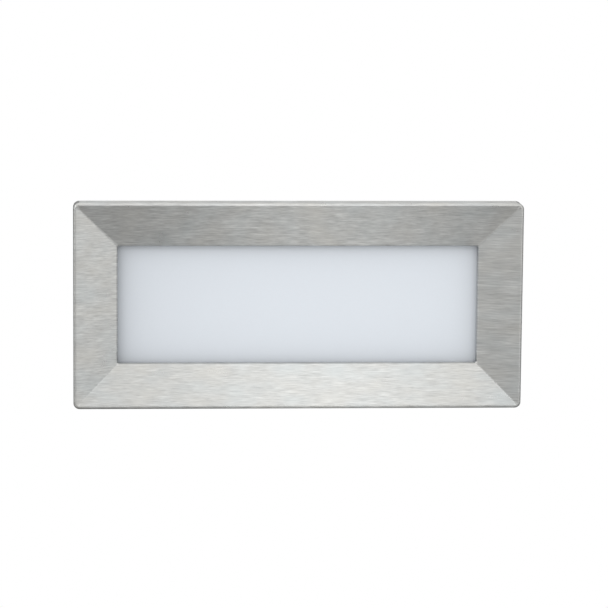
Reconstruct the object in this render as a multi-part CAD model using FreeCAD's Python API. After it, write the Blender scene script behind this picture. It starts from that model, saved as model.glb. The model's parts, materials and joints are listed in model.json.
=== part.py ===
"""Recessed step light, brick format, with a pressed stainless fascia and an opal window.

Frame: +X to the right as the light is seen, +Z up, the light faces -Y.
The wall's surface is the plane y = 0 and the origin is the middle of the fascia on it.
All sizes are in millimetres. "Front" is towards -Y and "rear" towards +Y.

From the front to the rear the light comes apart as
  fascia        pressed sheet that snaps over the lamp on four spring clips
  lamp module   cast body with window, light engine, driver, terminals and cable gland
  recess box    moulded box that is bedded in the brickwork and takes the module's two screws
"""

import FreeCAD, Part

import math
import os

V = FreeCAD.Vector

# ---------------------------------------------------------------- driving sizes

# fits that more than one piece uses
thread_clearance = 0.05   # radial, between a screw and the hole that it bites or turns in
hole_clearance = 0.25     # radial, where a screw passes freely
fit_gap = 0.3             # between loose parts that lie side by side
past = 1.0                # how far a cutter reaches past the metal that it cuts

# fascia
fascia_width = 230.0
fascia_height = 106.0
stand_off = 12.0          # how far the rim stands in front of the wall
face_band = 22.7          # rim to window, seen from the front
face_slope = 17.0         # degrees that each face falls back towards the window
sheet = 1.0
rim_bend = 1.6            # outer radius where a face turns into the skirt
rim_corner = 3.2          # outer radius of the four corners, seen from the front
lip_bend = 1.2            # outer radius where a face turns into the lip round the window
lip_depth = 3.2           # front edge of the lip to its raw edge
window_corner = 1.0
weep_width = 9.0
weep_height = 2.0
weep_pitch = 60.0

# spring clips inside the skirt
clip_width = 12.0
clip_sheet = 0.5
clip_pitch = 120.0
clip_pad = 4.0            # welded length on the skirt
clip_bite = 1.4           # how far the nose reaches behind the lamp's flange
clip_set = 0.4            # how far the arm leans in from the skirt before the nose
clip_nose_back = 0.6      # flange's rear to the bend behind the nose
clip_flare = 1.12         # how far the tail behind the nose leans out again

# window
diffuser_thickness = 3.0
diffuser_corner = 2.0
diffuser_edge_x = 2.2     # how far the pane reaches past the window at the ends
diffuser_edge_z = 6.5     # and at the top and bottom, where its screws are
diffuser_seal_thickness = 1.0
diffuser_screw_pitch = 40.0
diffuser_screw_count = 5
diffuser_screw_bite = 3.0  # thread past the pocket's floor
lip_gap = 0.4             # fascia's lip to the pane

# lamp body
flange_thickness = 2.5
flange_corner = 7.0
flange_gap_x = 1.7        # flange's edge to the skirt at the ends
flange_gap_z = 2.5        # and at the top and bottom, where the clips pass
pocket_wall = 1.8
pocket_corner = 4.0
body_wall = 2.5
body_corner = 3.5
chamber_corner = 1.0
floor_thickness = 3.0
light_depth = 20.5        # pocket's floor to the chamber's floor
bay_depth = 30.5          # chamber's floor to the rear cover's seal
chamber_margin_x = 0.5    # how far the light chamber reaches past the window
chamber_margin_z = 0.9
fin_thickness = 1.8
fin_pitch = 16.0
fin_setback = 4.0         # rear cover's seal to the fins' rear ends
boss_wall = 1.6           # round a tapped hole
blind_end = 1.0           # metal past the end of a tapped hole

# captive fixing screws of the lamp
fixing_screw_length = 20.0
washer_thickness = 0.9
washer_rim = 1.2          # washer's width round the screw
seat_boss_radius = 4.6

# light engine
board_thickness = 1.6
board_gap_x = 5.8         # board's edge to the chamber's wall
board_gap_z = 4.2
board_corner = 1.0
board_screw_inset_x = 5.0
board_screw_inset_z = 4.0
board_screw_bite = 5.0    # thread past the chamber's floor
pad_thickness = 0.5
led_columns = 12
led_rows = 3
led_length = 3.5
led_height = 2.8
led_thickness = 0.8
led_rim = 0.5             # frame round the LED's cup
led_cup = 0.35            # depth of the cup
led_fill_drop = 0.06      # phosphor below the cup's edge
led_gap = 1.5             # LEDs of the outer rows to their neighbours
liner_sheet = 1.0
liner_lean = 4.6          # how far the liner's sides lean in over the board
liner_corner = 3.0        # where two of its sides meet, outside
liner_hole_gap = 0.5      # round each LED
liner_setback = 0.5       # pocket's floor to the liner's mouth
liner_board_gap = 0.2
connector_length = 8.0
connector_width = 7.2
connector_depth = 3.4
connector_entry = 4.0     # depth of its wire entries

# leads
mains_lead_radius = 1.1
led_lead_radius = 0.75
led_lead_pitch = 2.0
led_lead_spread = 8.0     # their pitch where they leave the driver
led_lead_reach = 9.0      # driver to the hole in the floor
grommet_waist = 4.0       # radii of the bush in the floor
grommet_bore = 2.2
grommet_lip = 1.2

# rear cover
cover_thickness = 2.5
cover_seal_thickness = 1.0
cover_screw_bite = 7.0
cover_boss_radius = 3.4
cover_boss_sink = 0.8     # how far each boss goes into the chamber's corner
cover_rib_inset = 9.0
cover_rib_width = 2.0
cover_rib_height = 1.0
cover_rib_stop = 6.0      # gland's hexagon to the rib's ends

# breather vent
vent_inset = 32.8         # from the chamber's end wall
vent_radius = 4.0
vent_wall = 1.4
vent_cap_rim = 2.0
vent_cap_height = 2.8
vent_slot = 0.8
vent_tail = 3.0           # inside the cover

# cable gland
gland_inset = 22.8        # from the chamber's end wall
gland_thread_radius = 10.0
gland_bore_radius = 6.3
gland_hex = 24.0          # across flats
gland_hex_length = 5.0
gland_barrel_step = 0.8   # outer thread's root to the rear barrel
gland_barrel_length = 9.0
gland_nut_gap = 1.0       # body's hexagon to the nut
gland_nut_hex_length = 8.0
gland_nut_length = 15.0
gland_nut_lip = 3.0       # nut's front face round the cable
gland_dome_drop = 0.72    # how far the dome has drawn in at half its height
gland_seal_length = 13.0
gland_seal_lip = 0.9
gland_washer_thickness = 1.2
locknut_thickness = 5.0
locknut_thread_past = 1.5
cable_radius = 4.2        # bore of the gland's rubber

# driver
driver_length = 82.0
driver_height = 36.0
driver_depth = 20.0
lead_hole_inset = 11.8    # chamber's end wall to the hole for the LED leads
driver_wall = 1.5
driver_corner = 2.0
driver_tongue = 2.0       # lid's tongue inside the tub
driver_board_lift = 1.4   # tub's floor to the board
driver_board_thickness = 1.2
driver_board_gap = 0.5
driver_foot_radius = 1.2
driver_foot_inset = 6.0
core_length = 18.0        # transformer
core_depth = 12.0
core_leg = 3.5
core_yoke = 2.0
winding_gap = 0.1
reservoir_radius = 5.0
reservoir_depth = 12.8
output_can_radius = 4.0
output_can_depth = 10.8
output_can_pitch = 10.0
choke_radius = 5.0
choke_bore = 2.0
choke_depth = 8.0
mains_side = 14.0         # driver's mains end to its reservoir and choke
output_side = 16.5        # driver's output end to its output cans
tab_boss_height = 2.0
tab_thickness = 1.6
tab_radius = 3.6
tab_reach = 3.5           # driver's end to its tab's screw
tab_screw_length = 5.0
tapped_depth = 4.2        # of the blind holes for those screws

# terminals and earth
lead_span = 20.0          # driver to terminal block
lead_straight = 6.0       # of a mains lead before it bends
terminal_length = 22.0
terminal_pitch = 8.0
terminal_poles = 3
terminal_depth = 13.0
terminal_base = 4.5
terminal_gap = 1.2        # between the towers
terminal_tube_radius = 2.7
terminal_tube_inset = 1.5
terminal_tube_gap = 0.5   # wire to the tube's bore
terminal_screw_pitch = 10.0
terminal_screw_drop = 2.4  # its head below the tower's top
terminal_screw_slot = 0.6
mains_driver_pitch = 7.0  # of the leads where they enter the driver
earth_inset_x = 8.0       # terminal block to the earth screw
earth_inset_z = 9.0       # chamber's wall to the earth screw
tag_thickness = 0.8
tag_radius = 3.4
tag_tongue_width = 3.2
tag_tongue_length = 3.0

# recess box
cable_space = 6.0818      # gland's nut to the box's floor
box_wall = 2.5
box_corner = 6.0
ear_space = 7.5           # module to the box's end walls, where the screw ears stand
box_gap = 0.9             # module to the box at the top and bottom
ear_spare = 2.0           # ear past the screw's tip
screw_room = 0.6          # radial, round the screw behind its insert
insert_wall = 0.85
insert_length = 9.0
insert_drop = 0.2
guide_thickness = 2.0     # ribs that centre the module
guide_inset = 12.0
guide_setback = 2.0
key_height = 3.0          # mortar keys round the outside
key_thickness = 2.5
key_front_y = 20.0
key_rear_y = 50.5
wall_seal_thickness = 2.0
wall_seal_corner = 6.0
entry_radius = 10.2       # cable entries
entry_side_y = 68.4
entry_pad_rim = 3.0
entry_pad_height = 1.0
entry_lip = 2.2
entry_catch = 1.6         # plug or grommet inside the wall
entry_cap = 1.4
entry_bevel = 0.6
plug_gap = 0.1
fixing_inset_x = 12.3     # rear fixing holes to the inside of the walls
fixing_inset_z = 9.8
fixing_radius = 2.5
drain_radius = 2.5
drain_y = 57.0

# fasteners
m4_radius = 2.0
m4_head_radius = 4.0
m3_radius = 1.5
m3_head_radius = 2.8
m3_head_height = 2.0
m25_radius = 1.25
m25_head_radius = 2.3
m25_head_height = 1.7
cross_width = 0.52        # driver's cross, as shares of the head's radius
cross_reach = 0.62
cross_depth = 0.6         # and of its height
pan_top = 0.72            # flat top of a pan head, as a share of its radius
pan_crown = 0.35          # round part of a pan head, as a share of its height
flat_cross = 0.85         # countersunk head's part that takes the cross
flat_cross_depth = 1.5

# ---------------------------------------------------------------- places that follow from them

# section of the fascia, as (inset from the rim, y)
slope = math.radians(face_slope)
rim_y = -stand_off
rim_centre = (rim_bend, rim_y + rim_bend)
face_normal = (math.sin(slope), -math.cos(slope))
rim_end = (rim_centre[0] + rim_bend * face_normal[0], rim_centre[1] + rim_bend * face_normal[1])
lip_start_inset = face_band - lip_bend + lip_bend * face_normal[0]
lip_start_y = rim_end[1] + (lip_start_inset - rim_end[0]) * math.tan(slope)
lip_centre = (face_band - lip_bend, lip_start_y + lip_bend * math.cos(slope))
lip_rear = lip_start_y + lip_depth

# half sizes, from the middle outwards, and depths, from the front to the rear
half_width = fascia_width / 2
half_height = fascia_height / 2
window_x = half_width - face_band
window_z = half_height - face_band
skirt_x = half_width - sheet
skirt_z = half_height - sheet

flange_rear = -wall_seal_thickness
flange_front = flange_rear - flange_thickness
flange_x = skirt_x - flange_gap_x
flange_z = skirt_z - flange_gap_z
clip_nose_z = flange_z - clip_bite

pane_front = lip_rear + lip_gap
pane_rear = pane_front + diffuser_thickness
pane_x = window_x + diffuser_edge_x
pane_z = window_z + diffuser_edge_z
pocket_floor = pane_rear + diffuser_seal_thickness
pocket_rear = pocket_floor + body_wall
pocket_x = pane_x + fit_gap
pocket_z = pane_z + fit_gap
pocket_out_x = pocket_x + pocket_wall
pocket_out_z = pocket_z + pocket_wall
chamber_x = window_x + chamber_margin_x
chamber_z = window_z + chamber_margin_z
body_x = chamber_x + body_wall
body_z = chamber_z + body_wall
pane_screw_z = (chamber_z + pane_z) / 2
floor_front = pocket_floor + light_depth
floor_rear = floor_front + floor_thickness
bay_rear = floor_rear + bay_depth
cover_front = bay_rear + cover_seal_thickness
cover_rear = cover_front + cover_thickness

board_x = chamber_x - board_gap_x
board_z = chamber_z - board_gap_z
board_rear = floor_front - pad_thickness
board_front = board_rear - board_thickness
board_screw_x = board_x - board_screw_inset_x
board_screw_z = board_z - board_screw_inset_z
liner_rear = board_front - liner_board_gap
liner_floor = liner_rear - liner_sheet

lead_hole_x = lead_hole_inset - chamber_x
driver_left = lead_hole_x + led_lead_reach
driver_right = driver_left + driver_length
driver_middle = driver_left + driver_length / 2
driver_rear = floor_rear + driver_depth
driver_board_front = floor_rear + driver_wall + driver_board_lift
driver_board_rear = driver_board_front + driver_board_thickness
tab_seat = floor_rear + tab_boss_height
terminal_left = driver_right + lead_span
terminal_right = terminal_left + terminal_length
terminal_rear = floor_rear + terminal_depth
mains_level = floor_rear + terminal_base + fit_gap + mains_lead_radius
led_out_level = floor_rear + driver_depth / 2
led_lead_level = board_front - connector_depth / 2
earth_x = terminal_left - earth_inset_x
earth_z = earth_inset_z - chamber_z
earth_level = tab_seat + tag_thickness + mains_lead_radius

connector_left = lead_hole_x + grommet_waist + fit_gap
led_reach_x = -(connector_left + connector_length + led_gap + led_length / 2)
led_reach_z = board_screw_z - m3_head_radius - led_gap - led_height / 2

cover_boss_x = chamber_x - cover_boss_radius + cover_boss_sink
cover_boss_z = chamber_z - cover_boss_radius + cover_boss_sink
gland_x = chamber_x - gland_inset
vent_x = vent_inset - chamber_x
gland_hex_front = cover_rear + gland_washer_thickness
gland_hex_rear = gland_hex_front + gland_hex_length
gland_barrel = gland_thread_radius - gland_barrel_step
gland_barrel_rear = gland_hex_rear + gland_barrel_length
gland_nut_front = gland_hex_rear + gland_nut_gap
gland_nut_rear = gland_nut_front + gland_nut_length

box_in_x = pocket_out_x + ear_space
box_in_z = pocket_out_z + box_gap
box_out_x = box_in_x + box_wall
box_out_z = box_in_z + box_wall
box_floor = gland_nut_rear + cable_space
box_depth = box_floor + box_wall
ear_x = pocket_out_x + fit_gap + seat_boss_radius
ear_length = fixing_screw_length + ear_spare
insert_radius = m4_radius + thread_clearance + insert_wall
fixing_x = box_in_x - fixing_inset_x
fixing_z = box_in_z - fixing_inset_z

pane_screw_length = diffuser_thickness + diffuser_seal_thickness + body_wall + diffuser_screw_bite
board_screw_length = board_thickness + pad_thickness + board_screw_bite
cover_screw_length = cover_thickness + cover_seal_thickness + cover_screw_bite


# ---------------------------------------------------------------- shape helpers

def rounded_wire(half_x, half_z, corner, y):
    """Rectangle with round corners, in the plane at y."""
    edges = []
    last = None
    for turn in range(4):
        middle_of_arc = math.radians(45 + 90 * turn)
        sx = math.copysign(1, math.cos(middle_of_arc))
        sz = math.copysign(1, math.sin(middle_of_arc))
        centre = V(sx * (half_x - corner), y, sz * (half_z - corner))
        around = [middle_of_arc + math.radians(a) for a in (-45, 0, 45)]
        arc = [centre + V(corner * math.cos(a), 0, corner * math.sin(a)) for a in around]
        if last is not None:
            edges.append(Part.makeLine(last, arc[0]))
        else:
            first = arc[0]
        edges.append(Part.Arc(*arc).toShape())
        last = arc[2]
    edges.append(Part.makeLine(last, first))
    return Part.Wire(edges)


def slab(half_x, half_z, corner, front, rear, x=0.0, z=0.0):
    """Plate or block with round corners between two depths, centred on (x, z)."""
    solid = Part.Face(rounded_wire(half_x, half_z, corner, front)).extrude(V(0, rear - front, 0))
    solid.translate(V(x, 0, z))
    return solid


def ring(outer, inner, front, rear, x=0.0, z=0.0):
    """Flat frame between two rounded rectangles, each (half x, half z, corner)."""
    return slab(*outer, front, rear, x, z).cut(slab(*inner, front, rear, x, z))


def rod(x, z, radius, front, rear):
    """Cylinder along Y."""
    return Part.makeCylinder(radius, rear - front, V(x, front, z), V(0, 1, 0))


def cross_rod(radius, left, right, y, z):
    """Cylinder along X."""
    return Part.makeCylinder(radius, right - left, V(left, y, z), V(1, 0, 0))


def block(x_range, y_range, z_range):
    """Box between three pairs of limits, each in either order."""
    low, high = zip(*[sorted(pair) for pair in (x_range, y_range, z_range)])
    return Part.makeBox(*[b - a for a, b in zip(low, high)], V(*low))


def tapered(front, rear, corner):
    """Solid whose four sides lean between two rectangles, each given as half width, half height and y."""
    ends = [[V(x, y, z), V(-x, y, z), V(-x, y, -z), V(x, y, -z)] for x, z, y in (front, rear)]
    turns = [(i, (i + 1) % 4) for i in range(4)]
    outlines = ends + [[ends[0][i], ends[0][j], ends[1][j], ends[1][i]] for i, j in turns]
    faces = [Part.Face(Part.makePolygon(points + points[:1])) for points in outlines]
    solid = Part.Solid(Part.Shell(faces))
    leaning = [edge for edge in solid.Edges if edge.BoundBox.YLength > abs(rear[2] - front[2]) / 2]
    return solid.makeFillet(corner, leaning)


def turned(points, x, z):
    """Solid turned about the Y axis through (x, z), from (radius, y) points."""
    outline = [V(r, y, 0) for r, y in points]
    solid = Part.Face(Part.makePolygon(outline + outline[:1])).revolve(V(0, 0, 0), V(0, 1, 0), 360)
    solid.translate(V(x, 0, z))
    return solid


def washer(inner, outer, front, rear, x, z):
    return turned([(inner, front), (outer, front), (outer, rear), (inner, rear)], x, z)


def hexagon(x, z, across_flats, front, rear):
    """Hexagonal prism along Y."""
    reach = across_flats / math.sqrt(3)
    angles = [math.radians(60 * i) for i in range(7)]
    corners = [V(x + reach * math.cos(a), front, z + reach * math.sin(a)) for a in angles]
    return Part.Face(Part.makePolygon(corners)).extrude(V(0, rear - front, 0))


def joined(shapes):
    """One solid from shapes that touch or overlap."""
    if len(shapes) == 1:
        return shapes[0]
    return shapes[0].multiFuse(shapes[1:]).removeSplitter()


def without(shape, cutters):
    """What is left of a shape when the cutters are taken away."""
    return shape.cut(joined(cutters))


def group(shapes):
    """Several solids that share a node."""
    return Part.makeCompound(shapes)


def quadrants(x, z):
    """The four places at (+-x, +-z)."""
    return [(-x, -z), (-x, z), (x, -z), (x, z)]


def row(count, pitch):
    """Evenly pitched places, centred on 0."""
    return [(i - (count - 1) / 2) * pitch for i in range(count)]


def spread(count, reach):
    """Evenly pitched places from -reach to reach."""
    return row(count, 2 * reach / (count - 1))


def cross_recess(radius, depth):
    """Cutter for the driver's cross in a head of the given radius, whose top is at y = 0."""
    width = radius * cross_width / 2
    reach = radius * cross_reach
    return joined([
        block((-reach, reach), (-past, depth), (-width, width)),
        block((-width, width), (-past, depth), (-reach, reach)),
    ])


def pan_screw(size, length, x, z, seat, towards=1):
    """Pan-head screw along Y, size = (radius, head radius, head height).

    Its head bears on the plane y = seat and its shank runs towards +Y or, with towards = -1, -Y.
    """
    radius, head_radius, head_height = size
    tip = radius / 2
    crown = head_height * pan_crown
    screw = turned(
        [
            (0, -head_height), (head_radius * pan_top, -head_height),
            (head_radius, crown - head_height), (head_radius, 0),
            (radius, 0), (radius, length - tip), (tip, length), (0, length),
        ],
        0, 0,
    )
    recess = cross_recess(head_radius, head_height * cross_depth)
    recess.translate(V(0, -head_height, 0))
    screw = screw.cut(recess)
    if towards < 0:
        screw.rotate(V(0, 0, 0), V(0, 0, 1), 180)
    screw.translate(V(x, seat, z))
    return screw


m3_pan = (m3_radius, m3_head_radius, m3_head_height)
m25_pan = (m25_radius, m25_head_radius, m25_head_height)


def strip_outline(path, thickness):
    """Closed outline of a bent strip: its middle line offset to both sides and mitred at the bends."""
    normals = []
    for a, b in zip(path, path[1:]):
        length = math.dist(a, b)
        normals.append(((a[1] - b[1]) / length, (b[0] - a[0]) / length))
    before = normals[:1] + normals
    after = normals + normals[-1:]
    sides = ([], [])
    for point, n, m in zip(path, before, after):
        reach = thickness / 2 / (1 + n[0] * m[0] + n[1] * m[1])
        for side, sign in zip(sides, (1, -1)):
            side.append((point[0] + sign * reach * (n[0] + m[0]), point[1] + sign * reach * (n[1] + m[1])))
    return sides[0] + sides[1][::-1]


def lead(points, radius):
    """Insulated wire: straight runs joined by tangent arcs, each as large as its two runs allow."""
    points = [V(*p) for p in points]
    edges = []
    start = points[0]
    for before, corner, after in zip(points, points[1:], points[2:]):
        into, out = corner - before, after - corner
        half_turn = into.getAngle(out) / 2
        setback = 0.45 * min(into.Length, out.Length)
        bend = setback / math.tan(half_turn)
        into.normalize()
        out.normalize()
        first, last = corner - into * setback, corner + out * setback
        middle = corner + (out - into).normalize() * (bend / math.cos(half_turn) - bend)
        edges.append(Part.LineSegment(start, first).toShape())
        edges.append(Part.Arc(first, middle, last).toShape())
        start = last
    edges.append(Part.LineSegment(start, points[-1]).toShape())
    section = Part.Wire(Part.makeCircle(radius, points[0], points[1] - points[0]))
    return Part.Wire(edges).makePipeShell([section], True, False)


# ---------------------------------------------------------------- fascia

def fascia_section():
    """Section of the pressed sheet through its top side, in the plane x = 0."""

    def place(point):
        inset, y = point
        return V(0, y, half_height - inset)

    def bend(centre, radius, start, end):
        angles = (start, (start + end) / 2, end)
        return [(centre[0] + radius * math.cos(a), centre[1] + radius * math.sin(a)) for a in angles]

    across_face = slope - math.pi / 2
    runs = [
        [(sheet, 0), (0, 0)],
        bend(rim_centre, rim_bend, -math.pi, across_face),
        bend(lip_centre, lip_bend, across_face, 0),
        [(face_band, lip_rear), (face_band - sheet, lip_rear)],
        bend(lip_centre, lip_bend - sheet, 0, across_face),
        bend(rim_centre, rim_bend - sheet, across_face, -math.pi),
    ]
    edges = []
    for run, following in zip(runs, runs[1:] + runs[:1]):
        ends = [place(p) for p in run]
        edges.append(Part.makeLine(*ends) if len(ends) == 2 else Part.Arc(*ends).toShape())
        edges.append(Part.makeLine(ends[-1], place(following[0])))
    return Part.Face(Part.Wire(edges))


def fascia_side(half_long, half_short):
    """One face with its skirt and lip, at z = half_short, cut to a mitre at the window's corners."""
    section = fascia_section()
    section.translate(V(-half_long, 0, half_short - half_height))
    bar = section.extrude(V(2 * half_long, 0, 0))
    outer = half_long - rim_corner
    inset = face_band + past
    plan = [
        (-outer, half_short + past), (outer, half_short + past), (outer, half_short - rim_corner),
        (half_long - inset, half_short - inset), (inset - half_long, half_short - inset),
        (-outer, half_short - rim_corner),
    ]
    outline = [V(x, rim_y - past, z) for x, z in plan]
    prism = Part.Face(Part.makePolygon(outline + outline[:1])).extrude(V(0, stand_off + 2 * past, 0))
    return bar.common(prism)


def fascia():
    """Sheet pressed in one piece: four faces that fall back to the window, a skirt and a lip."""
    pieces = []
    outside = block((-past, past), (rim_y - past, past), (half_height - rim_corner, half_height + past))
    corner_section = fascia_section().common(outside)
    corner_section.translate(V(0, 0, rim_corner - half_height))
    corner_piece = corner_section.Faces[0].revolve(V(0, 0, 0), V(0, 1, 0), 90)
    for turn, (sx, sz) in enumerate([(1, 1), (1, -1), (-1, -1), (-1, 1)]):
        upright = turn % 2
        side = fascia_side(*((half_height, half_width) if upright else (half_width, half_height)))
        corner = corner_piece.copy()
        for piece in (side, corner):
            piece.rotate(V(0, 0, 0), V(0, 1, 0), 90 * turn)
        corner.translate(V(sx * (half_width - rim_corner), 0, sz * (half_height - rim_corner)))
        pieces += [side, corner, window_corner_web(sx, sz)]
    half_weep = weep_width / 2
    weeps = [
        block((x - half_weep, x + half_weep), (-weep_height, past), (past - skirt_z, -half_height - past))
        for x in row(2, weep_pitch)
    ]
    return without(joined(pieces), weeps)


def window_corner_web(sx, sz):
    """Metal that rounds one of the window's corners."""
    x, z = sx * window_x, sz * window_z
    centre_x, centre_z = x - sx * window_corner, z - sz * window_corner
    square = block((x, centre_x), (lip_centre[1], lip_rear), (z, centre_z))
    return square.cut(rod(centre_x, centre_z, window_corner, lip_centre[1], lip_rear))


def fascia_clips():
    """Four strip springs welded inside the skirt. Each nose snaps behind the lamp's flange."""
    pad_z = skirt_z - clip_sheet / 2
    nose_z = clip_nose_z + clip_sheet / 2
    path = [
        (flange_front - clip_pad, pad_z),
        (flange_front, pad_z),
        (flange_rear - clip_sheet / 2, pad_z - clip_set),
        (flange_rear + clip_nose_back, nose_z),
        (-fit_gap, nose_z + clip_flare),
    ]
    outline = [V(0, y, z) for y, z in strip_outline(path, clip_sheet)]
    strip = Part.Face(Part.makePolygon(outline + outline[:1])).extrude(V(clip_width, 0, 0))
    clips = []
    for x in row(2, clip_pitch):
        for turn in (0, 180):
            clip = strip.copy()
            clip.translate(V(x - clip_width / 2, 0, 0))
            clip.rotate(V(x, 0, 0), V(0, 1, 0), turn)
            clips.append(clip)
    return group(clips)


# ---------------------------------------------------------------- window

def pane_screw_places():
    return [(x, sz * pane_screw_z) for x in row(diffuser_screw_count, diffuser_screw_pitch) for sz in (-1, 1)]


def diffuser():
    """Opal pane."""
    pane = slab(pane_x, pane_z, diffuser_corner, pane_front, pane_rear)
    holes = [rod(x, z, m25_radius + hole_clearance, pane_front, pane_rear) for x, z in pane_screw_places()]
    return without(pane, holes)


def diffuser_seal():
    outer = (pane_x, pane_z, diffuser_corner)
    inner = (chamber_x, chamber_z, chamber_corner)
    holes = [rod(x, z, m25_radius + hole_clearance, pane_rear, pocket_floor) for x, z in pane_screw_places()]
    return without(ring(outer, inner, pane_rear, pocket_floor), holes)


def diffuser_screws():
    return group([pan_screw(m25_pan, pane_screw_length, x, z, pane_front) for x, z in pane_screw_places()])


# ---------------------------------------------------------------- lamp body

def cover_screw_places():
    return quadrants(cover_boss_x, cover_boss_z) + [(0, -cover_boss_z), (0, cover_boss_z)]


def board_screw_places():
    return quadrants(board_screw_x, board_screw_z) + [(0, -board_screw_z), (0, board_screw_z)]


def tab_screw_places():
    across = driver_height / 2 - tab_radius
    return [(driver_left - tab_reach, -across), (driver_right + tab_reach, across)]


def lamp_body():
    """Cast body: flange and window pocket in front, light chamber, floor, wiring bay behind."""
    pane_tap_end = pane_front + pane_screw_length + blind_end
    board_tap_end = board_front + board_screw_length + blind_end
    cover_tap_end = cover_rear - cover_screw_length - blind_end

    outside = [
        slab(flange_x, flange_z, flange_corner, flange_front, flange_rear),
        slab(pocket_out_x, pocket_out_z, pocket_corner, flange_front, pocket_rear),
        slab(body_x, body_z, body_corner, pocket_rear, bay_rear),
    ]
    outside += cooling_fins()
    outside += [rod(x, z, m25_radius + boss_wall, pocket_floor, pane_tap_end) for x, z in pane_screw_places()]
    outside += [rod(x, 0, seat_boss_radius, flange_front, 0) for x in (-ear_x, ear_x)]
    hollows = [
        slab(pocket_x, pocket_z, diffuser_corner + fit_gap, flange_front, pocket_floor),
        slab(chamber_x, chamber_z, chamber_corner, pocket_floor, floor_front),
        slab(chamber_x, chamber_z, chamber_corner, floor_rear, bay_rear),
    ]
    body = without(joined(outside), hollows)

    bosses = [rod(x, z, cover_boss_radius, floor_rear, bay_rear) for x, z in cover_screw_places()]
    bosses += [rod(x, z, m3_radius + boss_wall, floor_front, board_tap_end) for x, z in board_screw_places()]
    bosses += [rod(x, z, m3_radius + boss_wall, floor_rear, tab_seat) for x, z in tab_screw_places()]
    bosses.append(rod(earth_x, earth_z, tag_radius, floor_rear, tab_seat))
    body = joined([body] + bosses)

    m3_tap = m3_radius + thread_clearance
    taps = [
        rod(x, z, m25_radius + thread_clearance, pocket_floor, pane_tap_end - blind_end / 2)
        for x, z in pane_screw_places()
    ]
    taps += [rod(x, z, m3_tap, cover_tap_end, bay_rear) for x, z in cover_screw_places()]
    taps += [rod(x, z, m3_tap, floor_front, board_tap_end - blind_end / 2) for x, z in board_screw_places()]
    taps += [rod(x, z, m3_tap, tab_seat - tapped_depth, tab_seat) for x, z in tab_screw_places()]
    taps.append(rod(earth_x, earth_z, m3_tap, tab_seat - tapped_depth, tab_seat))
    taps.append(rod(lead_hole_x, 0, grommet_waist, floor_front, floor_rear))
    taps += [captive_screw_seat(x) for x in (-ear_x, ear_x)]
    return without(body, taps)


def cooling_fins():
    """Upright fins above and below the body, within the outline of the window pocket."""
    fins_a_side = int((body_x - body_corner) / fin_pitch)
    tip_z = pocket_out_z - fit_gap
    fins = []
    for x in row(2 * fins_a_side + 1, fin_pitch):
        for side in (-1, 1):
            fins.append(block(
                (x - fin_thickness / 2, x + fin_thickness / 2),
                (pocket_rear, bay_rear - fin_setback),
                (side * (body_z - body_wall / 2), side * tip_z),
            ))
    return fins


def captive_screw_seat(x):
    """Countersink, hole, and the recess behind it for the washer that keeps the screw in."""
    head = m4_head_radius + thread_clearance
    shank = m4_radius + thread_clearance
    recess = m4_radius + washer_rim + hole_clearance
    recess_front = -washer_thickness - fit_gap
    return turned(
        [
            (0, flange_front - past), (head, flange_front - past), (head, flange_front + thread_clearance),
            (shank, flange_front + thread_clearance + head - shank), (shank, recess_front),
            (recess, recess_front), (recess, past), (0, past),
        ],
        x, 0,
    )


def captive_screw(x):
    """Countersunk M4 screw that holds the module to the box."""
    tip = flange_front + fixing_screw_length
    screw = turned(
        [
            (0, flange_front), (m4_head_radius, flange_front),
            (m4_radius, flange_front + m4_head_radius - m4_radius),
            (m4_radius, tip - m4_radius / 2), (m4_radius / 2, tip), (0, tip),
        ],
        x, 0,
    )
    recess = cross_recess(m4_head_radius * flat_cross, flat_cross_depth)
    recess.translate(V(x, flange_front, 0))
    return screw.cut(recess)


def retaining_washer(x):
    """Nylon washer on the shank that keeps the screw in the flange."""
    rear = -fit_gap / 2
    return washer(m4_radius + thread_clearance, m4_radius + washer_rim, rear - washer_thickness, rear, x, 0)


def wall_seal():
    """Foam ring round the box's mouth, between the lamp's flange and the brickwork."""
    outer = (flange_x - fit_gap, clip_nose_z - 2 * fit_gap, wall_seal_corner)
    inner = (box_out_x + fit_gap, box_out_z + fit_gap, box_corner + fit_gap)
    return ring(outer, inner, flange_rear, 0)


# ---------------------------------------------------------------- light engine

def led_places():
    return [(x, z) for x in spread(led_columns, led_reach_x) for z in spread(led_rows, led_reach_z)]


def lead_notch_radius():
    return grommet_waist + grommet_lip + fit_gap


def thermal_pad():
    pad = slab(board_x, board_z, board_corner, board_rear, floor_front)
    holes = [rod(x, z, m3_radius + boss_wall, board_rear, floor_front) for x, z in board_screw_places()]
    holes.append(rod(lead_hole_x, 0, lead_notch_radius(), board_rear, floor_front))
    return without(pad, holes)


def led_board():
    board = slab(board_x, board_z, board_corner, board_front, board_rear)
    holes = [rod(x, z, m3_radius + hole_clearance, board_front, board_rear) for x, z in board_screw_places()]
    holes.append(rod(lead_hole_x, 0, lead_notch_radius(), board_front, board_rear))
    return without(board, holes)


def led_cup_slab(x, z, drop):
    """Space in one LED's cup, from drop below its edge to its bottom."""
    front = board_front - led_thickness
    half_x, half_z = led_length / 2 - led_rim, led_height / 2 - led_rim
    return slab(half_x, half_z, led_rim, front + drop, front + led_cup, x, z)


def led_packages():
    """White frames of the surface-mount LEDs."""
    front = board_front - led_thickness
    return group([
        slab(led_length / 2, led_height / 2, led_rim / 2, front, board_front, x, z).cut(led_cup_slab(x, z, 0))
        for x, z in led_places()
    ])


def led_phosphor():
    """Yellow fill in each LED's cup."""
    return group([led_cup_slab(x, z, led_fill_drop) for x, z in led_places()])


def board_screws():
    return group([pan_screw(m3_pan, board_screw_length, x, z, board_front) for x, z in board_screw_places()])


def led_lead_z():
    return row(2, led_lead_pitch)


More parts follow.
